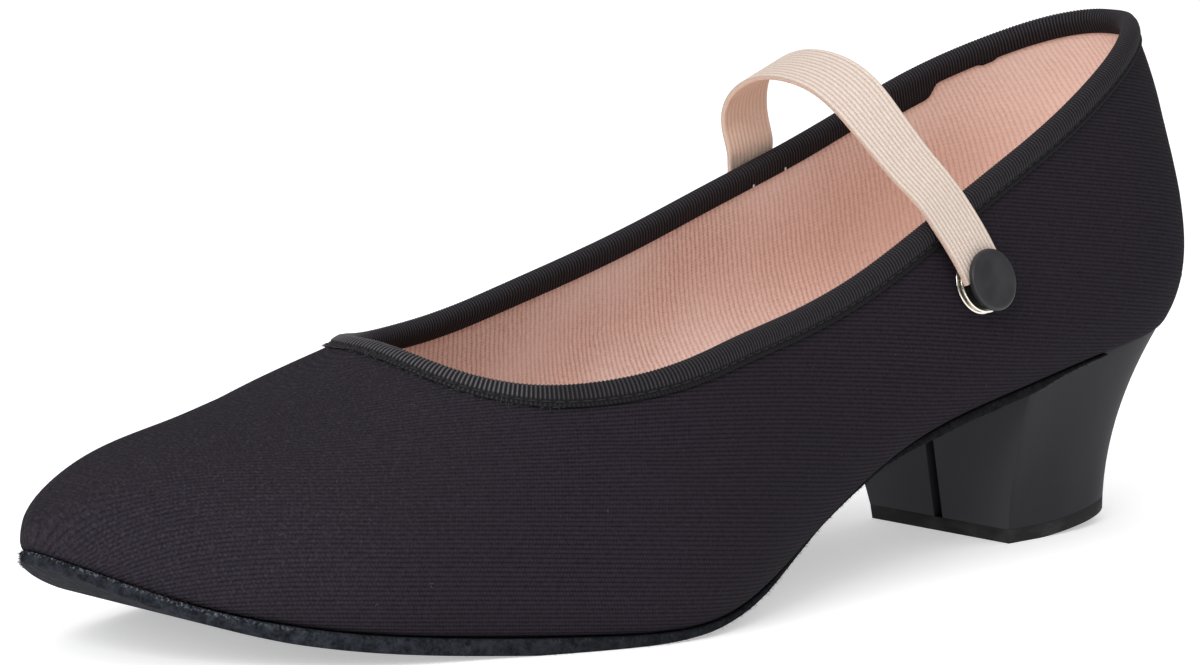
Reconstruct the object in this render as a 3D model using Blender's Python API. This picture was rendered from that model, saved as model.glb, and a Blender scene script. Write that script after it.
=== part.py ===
"""Left character dance shoe with a low heel, modelled as its separate pieces.

Lengths in the tables and functions are millimetres, and add_piece turns them into metres.
X runs from the heel to the toe, Y to the outer side of this left shoe, and Z up from the floor.
The last is a row of cross sections. A station runs from 0 at the heel back to 1 at the toe tip.
An angle climbs each section, from 0 at the feather line, where the sole begins, to 90 at the ridge.
A station is also given as a turn, half a circle from heel to toe, which rounds both ends.
"""
import math

import bmesh
import bpy
import numpy as np

# Driving sizes of the last
LENGTH = 288.0
BALL_WIDTH = 89.0
INSTEP_HEIGHT = 100.0
SEAT_HEIGHT = 43.5

# Sections of the last: width is a share of BALL_WIDTH, shift moves the section to the outer side,
# feather is a share of SEAT_HEIGHT, and ridge is a share of INSTEP_HEIGHT
SECTION_COLUMNS = ("station", "width", "shift", "feather", "ridge")
SECTIONS = (
    (0.00, 0.000, 0.0, 1.000, 1.510),
    (0.03, 0.370, 0.0, 0.985, 1.535),
    (0.08, 0.560, 0.0, 0.955, 1.545),
    (0.16, 0.665, 0.0, 0.900, 1.520),
    (0.26, 0.705, 0.5, 0.790, 1.430),
    (0.38, 0.750, 1.0, 0.608, 1.245),
    (0.50, 0.855, 2.5, 0.280, 0.995),
    (0.58, 0.965, 5.0, 0.108, 0.820),
    (0.62, 1.000, 5.5, 0.063, 0.740),
    (0.70, 0.985, 2.5, 0.058, 0.588),
    (0.78, 0.910, -1.5, 0.090, 0.498),
    (0.86, 0.765, -3.0, 0.145, 0.425),
    (0.93, 0.540, -6.0, 0.240, 0.375),
    (0.98, 0.295, -9.8, 0.375, 0.302),
    (1.00, 0.000, -13.5, 0.450, 0.238),
)

# Fullness of the sections: powers of the ellipse that each section is drawn with
FULLNESS_COLUMNS = ("station", "side", "crown")
FULLNESS = (
    (0.00, 1.000, 1.00),
    (0.30, 1.000, 1.00),
    (0.62, 0.975, 0.98),
    (0.80, 0.975, 0.98),
    (1.00, 0.900, 0.84),
)

# Bulge of the wall over the feather line, fading where the last is narrower than the full widths,
# and the lean of the vamp's ridge to the inner side; the norm makes the bulge's curve peak at 1
BULGE = 4.4
BULGE_HEIGHT = 46.0
BULGE_NORM = 27.0 / 4.0
BULGE_STATIONS = (0.50, 0.85)
BULGE_FULL_WIDTHS = (20.0, 36.0)
RIDGE_LEAN = -4.6
RIDGE_LEAN_STATIONS = (0.20, 0.62, 0.80, 1.00)
RIDGE_LEAN_SHARES = (0.0, 1.0, 1.0, 0.0)

# Profile of the back seam: furthest back a little above the seat, tucked in below and leaning in above
BACK_FULL = 25.0
BACK_TUCK = 2.0
BACK_LEAN = 10.0
BACK_LEAN_OVER = 35.0

# Collar line: height above the floor on the outer and the inner side, down to the throat on the ridge
COLLAR_COLUMNS = ("station", "outer", "inner")
COLLAR = (
    (0.00, 107.5, 107.5),
    (0.08, 102.0, 100.1),
    (0.18, 90.0, 90.7),
    (0.30, 75.5, 78.3),
    (0.42, 61.2, 66.5),
    (0.50, 54.8, 59.4),
    (0.57, 51.3, 54.3),
    (0.62, 48.3, 51.3),
    (0.67, 46.0, 49.8),
    (0.705, 45.6, 49.7),
    (0.73, 46.7, 50.6),
    (0.748, 48.9, 51.6),
)
THROAT_STATION = 0.757
COLLAR_TURN_WEIGHT = 1.2

# Walls and gaps
GAP = 0.3
WALL = 1.8
BINDING_WIDTH = 3.6
BINDING_THICKNESS = 0.7
INSOLE_THICKNESS = 2.0
INSOLE_CLEARANCES = (0.7, 3.0)
INSOLE_CLEARANCE_STATIONS = (0.92, 1.00)

# Outsole: its edge stands out past the feather line, or is tucked in under it at the waist, where the
# sole is thinnest
SOLE_COLUMNS = ("station", "edge", "thickness")
SOLE = (
    (0.18, 0.0, 0.5),
    (0.235, 0.0, 2.0),
    (0.34, 0.0, 2.0),
    (0.40, -1.2, 1.1),
    (0.47, -1.3, 1.2),
    (0.55, -0.1, 1.5),
    (0.60, 0.3, 1.4),
    (0.66, 0.6, 1.9),
    (0.74, 0.8, 3.1),
    (0.90, 0.7, 3.1),
    (1.00, 0.0, 2.2),
)
SOLE_START = 0.19

# Heel: outlines from the seat down to the floor
HEEL_BACK_TOP = 1.9
HEEL_BACK_FOOT = 18.5
HEEL_BACK_POWER = 2.4
BREAST_TOP = 69.0
BREAST_FOOT = 62.0
HEEL_HALF_TOP = 30.0
HEEL_HALF_FOOT = 19.5
HEEL_SIDE_POWER = 1.4
HEEL_ROUND = 2.2
HEEL_END_TOP = 2.6
HEEL_END_FOOT = 4.6
HEEL_TAPER = 0.10
HEEL_RISE = 3.6
HEEL_RISE_START = 0.75
HEEL_RISE_POWER = 1.3
LIFT_THICKNESS = 3.0
SLOT_WIDTH = 2.4
SLOT_DEPTH = 3.0

# Elastic strap: crossings of the collar, its start over the snap's axis, and its arch in a plane that
# leans to the toe
STRAP_WIDTH = 12.0
STRAP_THICKNESS = 1.2
STRAP_OUTER_STATION = 0.338
STRAP_INNER_STATION = 0.312
STRAP_LEAN = 26.0
STRAP_SEWN_LENGTH = 14.0
STRAP_START = 2.0
ARCH_COLUMNS = ("across", "up")
ARCH = (
    (32.4, 2.8),
    (29.6, 6.3),
    (25.0, 10.6),
    (20.6, 15.4),
    (16.7, 20.0),
    (12.5, 24.5),
    (6.5, 27.8),
    (-0.5, 28.8),
    (-8.0, 28.1),
    (-17.0, 24.9),
    (-25.4, 18.9),
    (-28.6, 14.3),
    (-30.1, 10.0),
    (-31.0, 4.5),
)

# Snap on the outer wall: a nickel base of two flanges, the strap's end and the cap, one over another
SNAP_STATION = 0.318
SNAP_HEIGHT = 58.2
SNAP_BASE_RADIUS = 6.2
SNAP_BASE_LIFT = 0.5
SNAP_BASE_THICKNESS = 1.7
SNAP_BASE_EDGE = 0.2
SNAP_WAIST_RADIUS = 4.8
CAP_RADIUS = 6.3
CAP_THICKNESS = 1.5
CAP_EDGE = 0.45

# Course of the ribs from the feather line to the collar: they sweep more and more to the toe, and in
# the middle of the toe they turn a corner, at a share of their length, from the tip into the vamp
RIB_SWEEP = 1.6
RIB_SWEEP_POWER = 3.0
CORNER_POWER = 6.0
CORNER_SHARE = 0.2

# Mesh resolution, and the powers that crowd rows to the heel's back and levels to its top
RING_COLUMNS = 42
RING_ROWS = 15
FINE = 400
SMALL = 0.002
MARCH_STEPS = 6
HEEL_ROW_POWER = 2.0
HEEL_LEVEL_POWER = 1.5
SOLE_ROWS = 56
HEEL_ROWS = 18
HEEL_LEVELS = 9
STRAP_ROWS = 44
SNAP_SIDES = 32

# Surface colours, roughness and metallic share
FINISHES = {
    "canvas": ((0.026, 0.022, 0.028), 0.85, 0.0),
    "grosgrain": ((0.020, 0.018, 0.021), 0.80, 0.0),
    "insole_cloth": ((0.70, 0.43, 0.35), 0.85, 0.0),
    "suede": ((0.022, 0.027, 0.036), 0.95, 0.0),
    "heel_plastic": ((0.018, 0.018, 0.020), 0.40, 0.0),
    "rubber": ((0.020, 0.020, 0.022), 0.70, 0.0),
    "elastic": ((0.84, 0.69, 0.58), 0.80, 0.0),
    "cap_plastic": ((0.020, 0.020, 0.023), 0.45, 0.0),
    "nickel": ((0.78, 0.74, 0.68), 0.25, 1.0),
}


def column(table, names, name):
    """One named column of a table, as an array."""
    return np.array([row[names.index(name)] for row in table], float)


def spline(knots, values, start_slope=None, end_slope=None):
    """Cubic curve through the values; an end with no slope given is left unbent."""
    knots = np.asarray(knots, float)
    values = np.asarray(values, float)
    count = len(knots)
    gaps = np.diff(knots)
    rises = np.diff(values, axis=0).T / gaps
    matrix = np.zeros((count, count))
    right = np.zeros(values.T.shape)
    for i in range(1, count - 1):
        matrix[i, i - 1:i + 2] = gaps[i], 2 * (gaps[i - 1] + gaps[i]), gaps[i - 1]
        right[..., i] = 3 * (gaps[i] * rises[..., i - 1] + gaps[i - 1] * rises[..., i])
    matrix[0, :2] = (2, 1) if start_slope is None else (1, 0)
    right[..., 0] = 3 * rises[..., 0] if start_slope is None else start_slope
    matrix[-1, -2:] = (1, 2) if end_slope is None else (0, 1)
    right[..., -1] = 3 * rises[..., -1] if end_slope is None else end_slope
    slopes = np.linalg.solve(matrix, right.T)

    def curve(place):
        place = np.asarray(place, float)
        i = np.clip(np.searchsorted(knots, place) - 1, 0, count - 2)
        t = (place - knots[i]) / gaps[i]
        span = gaps[i]
        if values.ndim > 1:
            t = t[..., None]
            span = span[..., None]
        first = (1 + 2 * t) * (1 - t) ** 2 * values[i] + t * (1 - t) ** 2 * span * slopes[i]
        second = t * t * (3 - 2 * t) * values[i + 1] + t * t * (t - 1) * span * slopes[i + 1]
        return first + second

    return curve


def turn_of(station):
    return np.arccos(np.clip(1 - 2 * np.asarray(station, float), -1, 1))


def station_of(turn):
    return (1 - np.cos(turn)) / 2


def unit(vectors):
    return vectors / np.linalg.norm(vectors, axis=-1, keepdims=True)


SECTION_TURNS = turn_of(column(SECTIONS, SECTION_COLUMNS, "station"))
half_width = spline(SECTION_TURNS, column(SECTIONS, SECTION_COLUMNS, "width") * BALL_WIDTH / 2)
shift = spline(SECTION_TURNS, column(SECTIONS, SECTION_COLUMNS, "shift"), start_slope=0)
feather = spline(SECTION_TURNS, column(SECTIONS, SECTION_COLUMNS, "feather") * SEAT_HEIGHT, 0, 0)
ridge = spline(SECTION_TURNS, column(SECTIONS, SECTION_COLUMNS, "ridge") * INSTEP_HEIGHT, start_slope=0)


def from_table(table, names, name, station):
    return np.interp(station, column(table, names, names[0]), column(table, names, name))


def back_inset(height):
    """How far the back seam lies in front of its furthest point, at a height over the seat."""
    below = BACK_TUCK * np.clip(1 - height / BACK_FULL, 0, None) ** 2
    above = BACK_LEAN * np.clip(height / BACK_FULL - 1, 0, None) ** 2 * (BACK_FULL / BACK_LEAN_OVER) ** 2
    return below + above


def wall_point(turn, angle, side):
    """Point of the upper's outer surface; side is 1 on the outer and -1 on the inner half."""
    station = station_of(turn)
    sine = np.clip(np.sin(angle), 0, 1) ** from_table(FULLNESS, FULLNESS_COLUMNS, "crown", station)
    cosine = np.clip(np.cos(angle), 0, 1) ** from_table(FULLNESS, FULLNESS_COLUMNS, "side", station)
    climb = (ridge(turn) - feather(turn)) * sine
    z = feather(turn) + climb
    share = np.clip(climb / BULGE_HEIGHT, 0, 1)
    full = np.interp(station, BULGE_STATIONS, BULGE_FULL_WIDTHS)
    bulge = BULGE * BULGE_NORM * share * (1 - share) ** 2 * np.clip(half_width(turn) / full, 0, 1)
    lean = RIDGE_LEAN * np.interp(station, RIDGE_LEAN_STATIONS, RIDGE_LEAN_SHARES)
    y = shift(turn) + lean * (1 - cosine) + side * (half_width(turn) * cosine + bulge)
    inset = back_inset(np.clip(z - SEAT_HEIGHT, 0, None))
    x = inset + station * (LENGTH - inset)
    return np.stack(np.broadcast_arrays(x, y, z), -1)


def wall_normal(turn, angle, side):
    """Outward normal of the upper's outer surface."""
    low = np.clip(angle - SMALL, 0, None)
    high = np.clip(angle + SMALL, None, math.pi / 2)
    early = np.clip(turn - SMALL, 0, None)
    late = np.clip(turn + SMALL, None, math.pi)
    climb = wall_point(turn, high, side) - wall_point(turn, low, side)
    along = wall_point(late, angle, side) - wall_point(early, angle, side)
    return unit(np.cross(climb, along) * np.asarray(side, float)[..., None])


def height_angle(turn, height):
    """Angle at which a section reaches a height above the floor."""
    power = from_table(FULLNESS, FULLNESS_COLUMNS, "crown", station_of(turn))
    share = (height - feather(turn)) / (ridge(turn) - feather(turn))
    return np.arcsin(np.clip(share, 0, 1) ** (1 / power))


def collar_line(side, count):
    """Turns and angles of the collar on one side, from the back seam to the throat, evenly spaced."""
    turns = turn_of(column(COLLAR, COLLAR_COLUMNS, "station"))
    heights = column(COLLAR, COLLAR_COLUMNS, "outer" if side > 0 else "inner")
    angles = np.append(height_angle(turns, heights), math.pi / 2)
    turns = np.append(turns, turn_of(THROAT_STATION))
    steps = np.hypot(np.diff(turns) * COLLAR_TURN_WEIGHT, np.diff(angles))
    places = np.append(0, np.cumsum(steps))
    fine = np.linspace(0, places[-1], FINE)
    fine_turns = spline(places, turns, end_slope=0)(fine)
    fine_angles = np.minimum(spline(places, angles, start_slope=0)(fine), math.pi / 2)
    return evenly(fine_turns, fine_angles, side, count)


def evenly(turns, angles, side, count):
    """The same line over the wall at count places, evenly spaced in length."""
    steps = np.linalg.norm(np.diff(wall_point(turns, angles, side), axis=0), axis=1)
    length = np.append(0, np.cumsum(steps))
    places = np.linspace(0, length[-1], count)
    return np.interp(places, length, turns), np.interp(places, length, angles)


def rib_lines(side, rows):
    """Turns and angles of the ribs from the feather line up to the collar on one side.

    Near the toe a rib climbs the tip first and then runs back along the vamp.
    """
    collar_turns, collar_angles = collar_line(side, RING_COLUMNS + 1)
    turns = np.linspace(0, math.pi, FINE)
    feather_turns = evenly(turns, np.zeros(FINE), side, RING_COLUMNS + 1)[0]
    place = np.linspace(0, 1, RING_COLUMNS + 1)[:, None]
    power = 1 + RIB_SWEEP * place ** RIB_SWEEP_POWER
    corner = place ** CORNER_POWER
    angle_share = (1 - corner) * (1 - (1 - rows) ** power) + corner * np.clip(rows / CORNER_SHARE, 0, 1)
    late = np.clip((rows - CORNER_SHARE) / (1 - CORNER_SHARE), 0, 1)
    turn_share = (1 - corner) * rows ** power + corner * late
    angles = collar_angles[:, None] * angle_share
    turns = feather_turns[:, None] + (collar_turns - feather_turns)[:, None] * turn_share
    return turns, angles


def ring(rows):
    """Turns, angles and sides of all ribs, around the shoe from the back seam by way of the toe."""
    outer_turns, outer_angles = rib_lines(1, rows)
    inner_turns, inner_angles = rib_lines(-1, rows)
    turns = np.concatenate([outer_turns, inner_turns[-2:0:-1]])
    angles = np.concatenate([outer_angles, inner_angles[-2:0:-1]])
    sides = np.ones(turns.shape)
    sides[RING_COLUMNS + 1:] = -1
    return turns, angles, sides


def below_collar(distance):
    """Wall points and normals at a distance straight down from the collar, all around the shoe."""
    turns, angles, sides = (values[:, 0] for values in ring(np.ones((1, 1))))
    points = wall_point(turns, angles, sides)
    along = np.roll(points, -1, axis=0) - np.roll(points, 1, axis=0)
    down = unit(np.cross(wall_normal(turns, angles, sides), along)) * distance / MARCH_STEPS
    for _ in range(MARCH_STEPS):
        forward = wall_point(turns + SMALL, angles, sides) - wall_point(turns - SMALL, angles, sides)
        climb = wall_point(turns, angles + SMALL, sides) - wall_point(turns, angles - SMALL, sides)
        basis = np.stack([forward, climb], axis=-1)
        step = (np.linalg.pinv(basis) @ down[:, :, None])[:, :, 0] * 2 * SMALL
        turns = turns + step[:, 0]
        angles = np.minimum(angles + step[:, 1], math.pi / 2)
    return wall_point(turns, angles, sides), wall_normal(turns, angles, sides)


def feather_edge(turns, side, outward):
    """Feather line at the given turns, moved outward in plan."""
    angles = np.zeros(len(turns))
    normals = wall_normal(turns, angles, np.full(len(turns), float(side)))
    normals[:, 2] = 0
    return wall_point(turns, angles, side) + unit(normals) * np.asarray(outward, float).reshape(-1, 1)


def feather_height(x):
    """Height of the feather line at a distance from the heel back."""
    station = np.clip((x - BACK_TUCK) / (LENGTH - BACK_TUCK), 0, 1)
    return feather(turn_of(station))


def sole_depth(station):
    return from_table(SOLE, SOLE_COLUMNS, "thickness", station)


def add_finish(name):
    """Principled material for one surface."""
    colour, roughness, metallic = FINISHES[name]
    material = bpy.data.materials.new(name)
    material.use_nodes = True
    shader = material.node_tree.nodes["Principled BSDF"]
    shader.inputs["Base Color"].default_value = (*colour, 1.0)
    shader.inputs["Roughness"].default_value = roughness
    shader.inputs["Metallic"].default_value = metallic
    return material


def add_piece(name, points, faces, finish, root, sharp=40.0):
    """Named object from millimetre points, with its faces turned outward."""
    mesh = bpy.data.meshes.new(name)
    mesh.from_pydata((np.asarray(points) * 0.001).tolist(), [], faces)
    shell = bmesh.new()
    shell.from_mesh(mesh)
    bmesh.ops.recalc_face_normals(shell, faces=shell.faces)
    shell.to_mesh(mesh)
    shell.free()
    mesh.shade_smooth()
    mesh.set_sharp_from_angle(angle=math.radians(sharp))
    mesh.materials.append(add_finish(finish))
    piece = bpy.data.objects.new(name, mesh)
    bpy.context.scene.collection.objects.link(piece)
    piece.parent = root
    return piece


def tube_faces(rings, corners, closed):
    """Quads between neighbouring loops of points; closed joins the last loop to the first."""
    faces = []
    for i in range(rings if closed else rings - 1):
        j = (i + 1) % rings
        for k in range(corners):
            n = (k + 1) % corners
            faces.append((i * corners + k, j * corners + k, j * corners + n, i * corners + n))
    return faces


def add_upper(root):
    """Hollow wall from the feather line to the collar, open above and below."""
    turns, angles, sides = ring(np.linspace(0, 1, RING_ROWS + 1)[None, :])
    outside = wall_point(turns, angles, sides)
    normals = wall_normal(turns, angles, sides)
    normals[:, 0, 2] = 0
    inside = outside - unit(normals) * WALL
    outside[:, 0, 2] += GAP / 2
    inside[:, 0, 2] = feather_height(inside[:, 0, 0]) + GAP / 2
    loops = np.concatenate([outside, inside[:, ::-1]], axis=1)
    corners = loops.shape[1]
    faces = tube_faces(len(loops), corners, True)
    return add_piece("upper", loops.reshape(-1, 3), faces, "canvas", root)


def add_binding(root):
    """Folded tape around the collar edge, with a leg down each face of the wall."""
    top, normals = below_collar(0.0)
    foot, foot_normals = below_collar(BINDING_WIDTH)
    up = unit(top - foot)
    near = GAP
    far = GAP + BINDING_THICKNESS
    loops = np.stack([
        foot + foot_normals * near,
        foot + foot_normals * far,
        top + normals * far,
        top + normals * near * 2 + up * far,
        top - normals * (WALL + near * 2) + up * far,
        top - normals * (WALL + far),
        foot - foot_normals * (WALL + far),
        foot - foot_normals * (WALL + near),
        top - normals * (WALL + near) + up * near,
        top + normals * near + up * near,
    ], axis=1)
    corners = loops.shape[1]
    faces = tube_faces(len(loops), corners, True)
    return add_piece("collar_binding", loops.reshape(-1, 3), faces, "grosgrain", root)


def slab(left, right, top_of, depth_of):
    """Points and faces of a sheet between two edges that run from heel to toe.

    The edges share their first and last points where these coincide.
    """
    points = []
    for edge in (left, right):
        top = edge.copy()
        top[:, 2] = top_of(edge)
        bottom = top.copy()
        bottom[:, 2] = np.maximum(top[:, 2] - depth_of(edge), 0)
        points += [top, bottom]
    loops = np.stack([points[0], points[1], points[3], points[2]], axis=1)
    faces = tube_faces(len(loops), 4, False)
    last = 4 * (len(loops) - 1)
    faces.append((3, 2, 1, 0))
    faces.append((last, last + 1, last + 2, last + 3))
    return loops.reshape(-1, 3), faces


def weld(piece):
    """Merges points that coincide and drops the flat faces between them."""
    shell = bmesh.new()
    shell.from_mesh(piece.data)
    bmesh.ops.remove_doubles(shell, verts=shell.verts, dist=1e-7)
    bmesh.ops.recalc_face_normals(shell, faces=shell.faces)
    shell.to_mesh(piece.data)
    shell.free()


def add_outsole(root):
    """Suede sole from the heel breast to the toe, flat where the ball of the foot treads."""
    turns = np.linspace(turn_of(SOLE_START), math.pi, SOLE_ROWS)
    outward = from_table(SOLE, SOLE_COLUMNS, "edge", station_of(turns))
    left = feather_edge(turns, 1, outward)
    right = feather_edge(turns, -1, outward)
    right[-1] = left[-1]

    def top_of(edge):
        return feather_height(edge[:, 0]) - GAP / 2

    def depth_of(edge):
        return sole_depth(edge[:, 0] / LENGTH)

    points, faces = slab(left, right, top_of, depth_of)
    piece = add_piece("outsole", points, faces, "suede", root)
    weld(piece)
    return piece


def add_insole(root):
    """Insole inside the upper, over the outsole and the heel seat."""
    turns = np.linspace(0, math.pi, SOLE_ROWS)
    clearance = np.interp(station_of(turns), INSOLE_CLEARANCE_STATIONS, INSOLE_CLEARANCES)
    inward = -(WALL + clearance)
    left = feather_edge(turns, 1, inward)
    right = feather_edge(turns, -1, inward)
    right[0] = left[0]
    right[-1] = left[-1]

    def top_of(edge):
        return feather_height(edge[:, 0]) + GAP / 2 + INSOLE_THICKNESS

    def depth_of(edge):
        return np.full(len(edge), INSOLE_THICKNESS)

    points, faces = slab(left, right, top_of, depth_of)
    piece = add_piece("insole", points, faces, "insole_cloth", root)
    weld(piece)
    return piece


def heel_outline(share, runs):
    """Half outline of the heel in plan at a share of its depth, from the back to the breast corner."""
    back = HEEL_BACK_TOP + (HEEL_BACK_FOOT - HEEL_BACK_TOP) * (1 - (1 - share) ** HEEL_BACK_POWER)
    breast = BREAST_TOP + (BREAST_FOOT - BREAST_TOP) * share
    half = HEEL_HALF_TOP + (HEEL_HALF_FOOT - HEEL_HALF_TOP) * (1 - (1 - share) ** HEEL_SIDE_POWER)
    end = HEEL_END_TOP + (HEEL_END_FOOT - HEEL_END_TOP) * share
    x = back + (breast - back) * runs
    y = half * (1 - HEEL_TAPER * (1 - runs)) * (1 - (1 - runs) ** end) ** (1 / HEEL_ROUND)
    return x, y


def heel_rise(runs):
    """Height of the heel's foot over the floor: flat in front, and rolled up towards the back."""
    return HEEL_RISE * np.clip(1 - runs / HEEL_RISE_START, 0, None) ** HEEL_RISE_POWER


def sole_step():
    """Distance from the heel back to the step in the heel's top, just behind the outsole's end."""
    return BACK_TUCK + SOLE_START * (LENGTH - BACK_TUCK) - 2 * GAP


def heel_seat(x):
    """Top of the heel: under the upper, and lower where the outsole runs in over the breast."""
    seat = feather_height(x) - GAP / 2
    return np.where(x > sole_step(), seat - sole_depth(x / LENGTH) - GAP, seat)


def heel_shoulder(x):
    """Smooth height near the heel's top that its sides hang from, so that the step stays in the top."""
    ramp = np.clip((x - HEEL_BACK_TOP) / (BREAST_TOP - HEEL_BACK_TOP), 0, 1) ** 2
    return feather_height(x) - GAP / 2 - (sole_depth(x / LENGTH) + GAP) * ramp


def stacked(levels):
    """Points and faces of a body between half outlines mirrored about the middle, listed downward."""
    loops = []
    for x, y, z in levels:
        half = np.stack([x, y, z], -1)
        other = half[::-1].copy()
        other[:, 1] *= -1
        loops.append(np.concatenate([half, other]))
    loops = np.stack(loops)
    corners = loops.shape[1]
    faces = tube_faces(len(loops), corners, False)
    half = corners // 2
    for first, count in ((0, half - 1), ((len(loops) - 1) * corners, half - 1)):
        for k in range(count):
            faces.append((first + k, first + k + 1, first + corners - 2 - k, first + corners - 1 - k))
    return loops.reshape(-1, 3), faces


def add_heel(root):
    """Moulded heel block with a concave back and a slot up the breast."""
    step = (sole_step() - HEEL_BACK_TOP) / (BREAST_TOP - HEEL_BACK_TOP)
    runs = np.linspace(0, 1, HEEL_ROWS) ** HEEL_ROW_POWER
    runs = np.sort(np.append(runs, [step - SMALL, step + SMALL]))
    foot = LIFT_THICKNESS + GAP / 2 + heel_rise(runs)
    levels = []
    for down in np.linspace(0, 1, HEEL_LEVELS) ** HEEL_LEVEL_POWER:
        share = down * (1 - LIFT_THICKNESS / SEAT_HEIGHT)
        x, y = heel_outline(share, runs)
        top_x = heel_outline(0.0, runs)[0]
        top = heel_shoulder(top_x) if down else heel_seat(top_x)
        levels.append((x, y, foot + (top - foot) * (1 - down)))
    points, faces = stacked(levels)
    heel = add_piece("heel", points, faces, "heel_plastic", root)
    weld(heel)
    cutter = add_slot_cutter(root)
    cut = heel.modifiers.new("breast slot", "BOOLEAN")
    cut.object = cutter
    cut.operation = "DIFFERENCE"
    return heel


def add_slot_cutter(root):
    """Leaning box that cuts the slot over the whole height of the breast."""
    half = SLOT_WIDTH / 2
    ends = (
        (BREAST_TOP - SLOT_DEPTH, SEAT_HEIGHT),
        (BREAST_TOP + SLOT_DEPTH, SEAT_HEIGHT),
        (BREAST_FOOT + SLOT_DEPTH, LIFT_THICKNESS / 2),
        (BREAST_FOOT - SLOT_DEPTH, LIFT_THICKNESS / 2),
    )
    points = [(x, y, z) for x, z in ends for y in (-half, half)]
    faces = tube_faces(4, 2, True)[::2] + [(6, 4, 2, 0), (1, 3, 5, 7)]
    cutter = add_piece("slot_cutter", points, faces, "heel_plastic", root)
    cutter.hide_render = True
    cutter.display_type = "WIRE"
    return cutter


def add_lift(root):
    """Rubber lift under the heel, flat on the floor."""
    runs = np.linspace(0, 1, HEEL_ROWS) ** HEEL_ROW_POWER
    top_share = 1 - LIFT_THICKNESS / SEAT_HEIGHT
    levels = []
    for share, height in ((top_share, LIFT_THICKNESS - GAP / 2), (1.0, 0.0)):
        x, y = heel_outline(share, runs)
        levels.append((x, y, height + heel_rise(runs)))
    points, faces = stacked(levels)
    lift = add_piece("heel_lift", points, faces, "rubber", root)
    weld(lift)
    return lift


def snap_place():
    """Point on the outer wall under the snap, with the wall's normal there."""
    turn = turn_of(SNAP_STATION)
    angle = height_angle(turn, SNAP_HEIGHT)
    return wall_point(turn, angle, 1), wall_normal(turn, angle, 1)


def collar_crossing(station, side):
    """Collar point at a station, with the wall's normal and the way up the wall."""
    turns, angles = collar_line(side, FINE)
    turn = turn_of(station)
    angle = np.interp(turn, turns, angles)
    point = wall_point(turn, angle, side)
    up = unit(point - wall_point(turn, angle - SMALL, side))
    return point, wall_normal(turn, angle, side), up


def strap_route():
    """Middle points and width directions of the strap, from the snap to its sewn end."""
    outer, outer_normal, _ = collar_crossing(STRAP_OUTER_STATION, 1)
    inner, inner_normal, inner_up = collar_crossing(STRAP_INNER_STATION, -1)
    place, normal = snap_place()
    over_binding = BINDING_THICKNESS + 4 * GAP + STRAP_THICKNESS / 2
    over_base = SNAP_BASE_LIFT + SNAP_BASE_THICKNESS + GAP + STRAP_THICKNESS / 2
    across = unit(outer - inner)
    lean = math.radians(STRAP_LEAN)
    plane = unit(np.cross(across, (math.sin(lean), 0, math.cos(lean))))
    up = np.cross(plane, across)
    middle = (outer + inner) / 2
    to_collar = outer - place
    to_collar = unit(to_collar - normal * np.dot(to_collar, normal))
    flat_width = np.cross(normal, to_collar)
    seat = place + normal * over_base
    route = [(seat + to_collar * way, flat_width) for way in (STRAP_START, SNAP_BASE_RADIUS)]
    outer_width = unit(np.cross(outer_normal, to_collar))
    route.append((outer + outer_normal * over_binding, outer_width))
    arch = zip(column(ARCH, ARCH_COLUMNS, "across"), column(ARCH, ARCH_COLUMNS, "up"))
    for i, (sideways, upward) in enumerate(arch):
        width = plane if i else outer_width
        route.append((middle + across * sideways + up * upward, width))
    inner_width = unit(np.cross(inner_up, inner_normal))
    if np.dot(inner_width, plane) < 0:
        inner_width = -inner_width
    route.append((inner + inner_normal * over_binding, inner_width))
    turn = turn_of(STRAP_INNER_STATION)
    for share in (0.5, 1.0):
        height = inner[2] - STRAP_SEWN_LENGTH * share
        angle = height_angle(turn, height)
        off = over_binding if share < 1 else 2 * GAP + STRAP_THICKNESS / 2
        point = wall_point(turn, angle, -1) + wall_normal(turn, angle, -1) * off
        route.append((point, inner_width))
    return np.array([row[0] for row in route]), np.array([row[1] for row in route])


def add_strap(root):
    """Elastic band from under the snap cap, over the opening, to the inner wall."""
    middles, widths = strap_route()
    places = np.append(0, np.cumsum(np.linalg.norm(np.diff(middles, axis=0), axis=1)))
    fine = np.linspace(0, places[-1], STRAP_ROWS)
    path = spline(places, middles)
    centre = path(fine)
    along = unit(path(fine + SMALL) - path(fine - SMALL))
    width = spline(places, widths)(fine)
    width = unit(width - along * np.sum(width * along, axis=1, keepdims=True))
    thick = np.cross(along, width)
    half = STRAP_WIDTH / 2
    deep = STRAP_THICKNESS / 2
    signs = ((1, 1), (1, -1), (-1, -1), (-1, 1))
    loops = np.stack([centre + width * half * i + thick * deep * k for i, k in signs], axis=1)
    faces = tube_faces(STRAP_ROWS, 4, False)
    last = 4 * (STRAP_ROWS - 1)
    faces += [(3, 2, 1, 0), (last, last + 1, last + 2, last + 3)]
    return add_piece("elastic_strap", loops.reshape(-1, 3), faces, "elastic", root)


def add_turned(name, profile, finish, root):
    """Round piece on the snap's axis; the profile lists radius and height over the wall."""
    place, normal = snap_place()
    first = unit(np.cross(normal, (0.0, 0.0, 1.0)))
    second = np.cross(normal, first)
    loops = []
    for radius, height in profile:
        for k in range(SNAP_SIDES):
            turn = 2 * math.pi * k / SNAP_SIDES
            spoke = first * math.cos(turn) + second * math.sin(turn)
            loops.append(place + normal * height + spoke * radius)
    faces = tube_faces(len(profile), SNAP_SIDES, False)
    last = SNAP_SIDES * (len(profile) - 1)
    faces.append(tuple(range(SNAP_SIDES)))
    faces.append(tuple(range(last, last + SNAP_SIDES)))
    return add_piece(name, loops, faces, finish, root)


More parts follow.
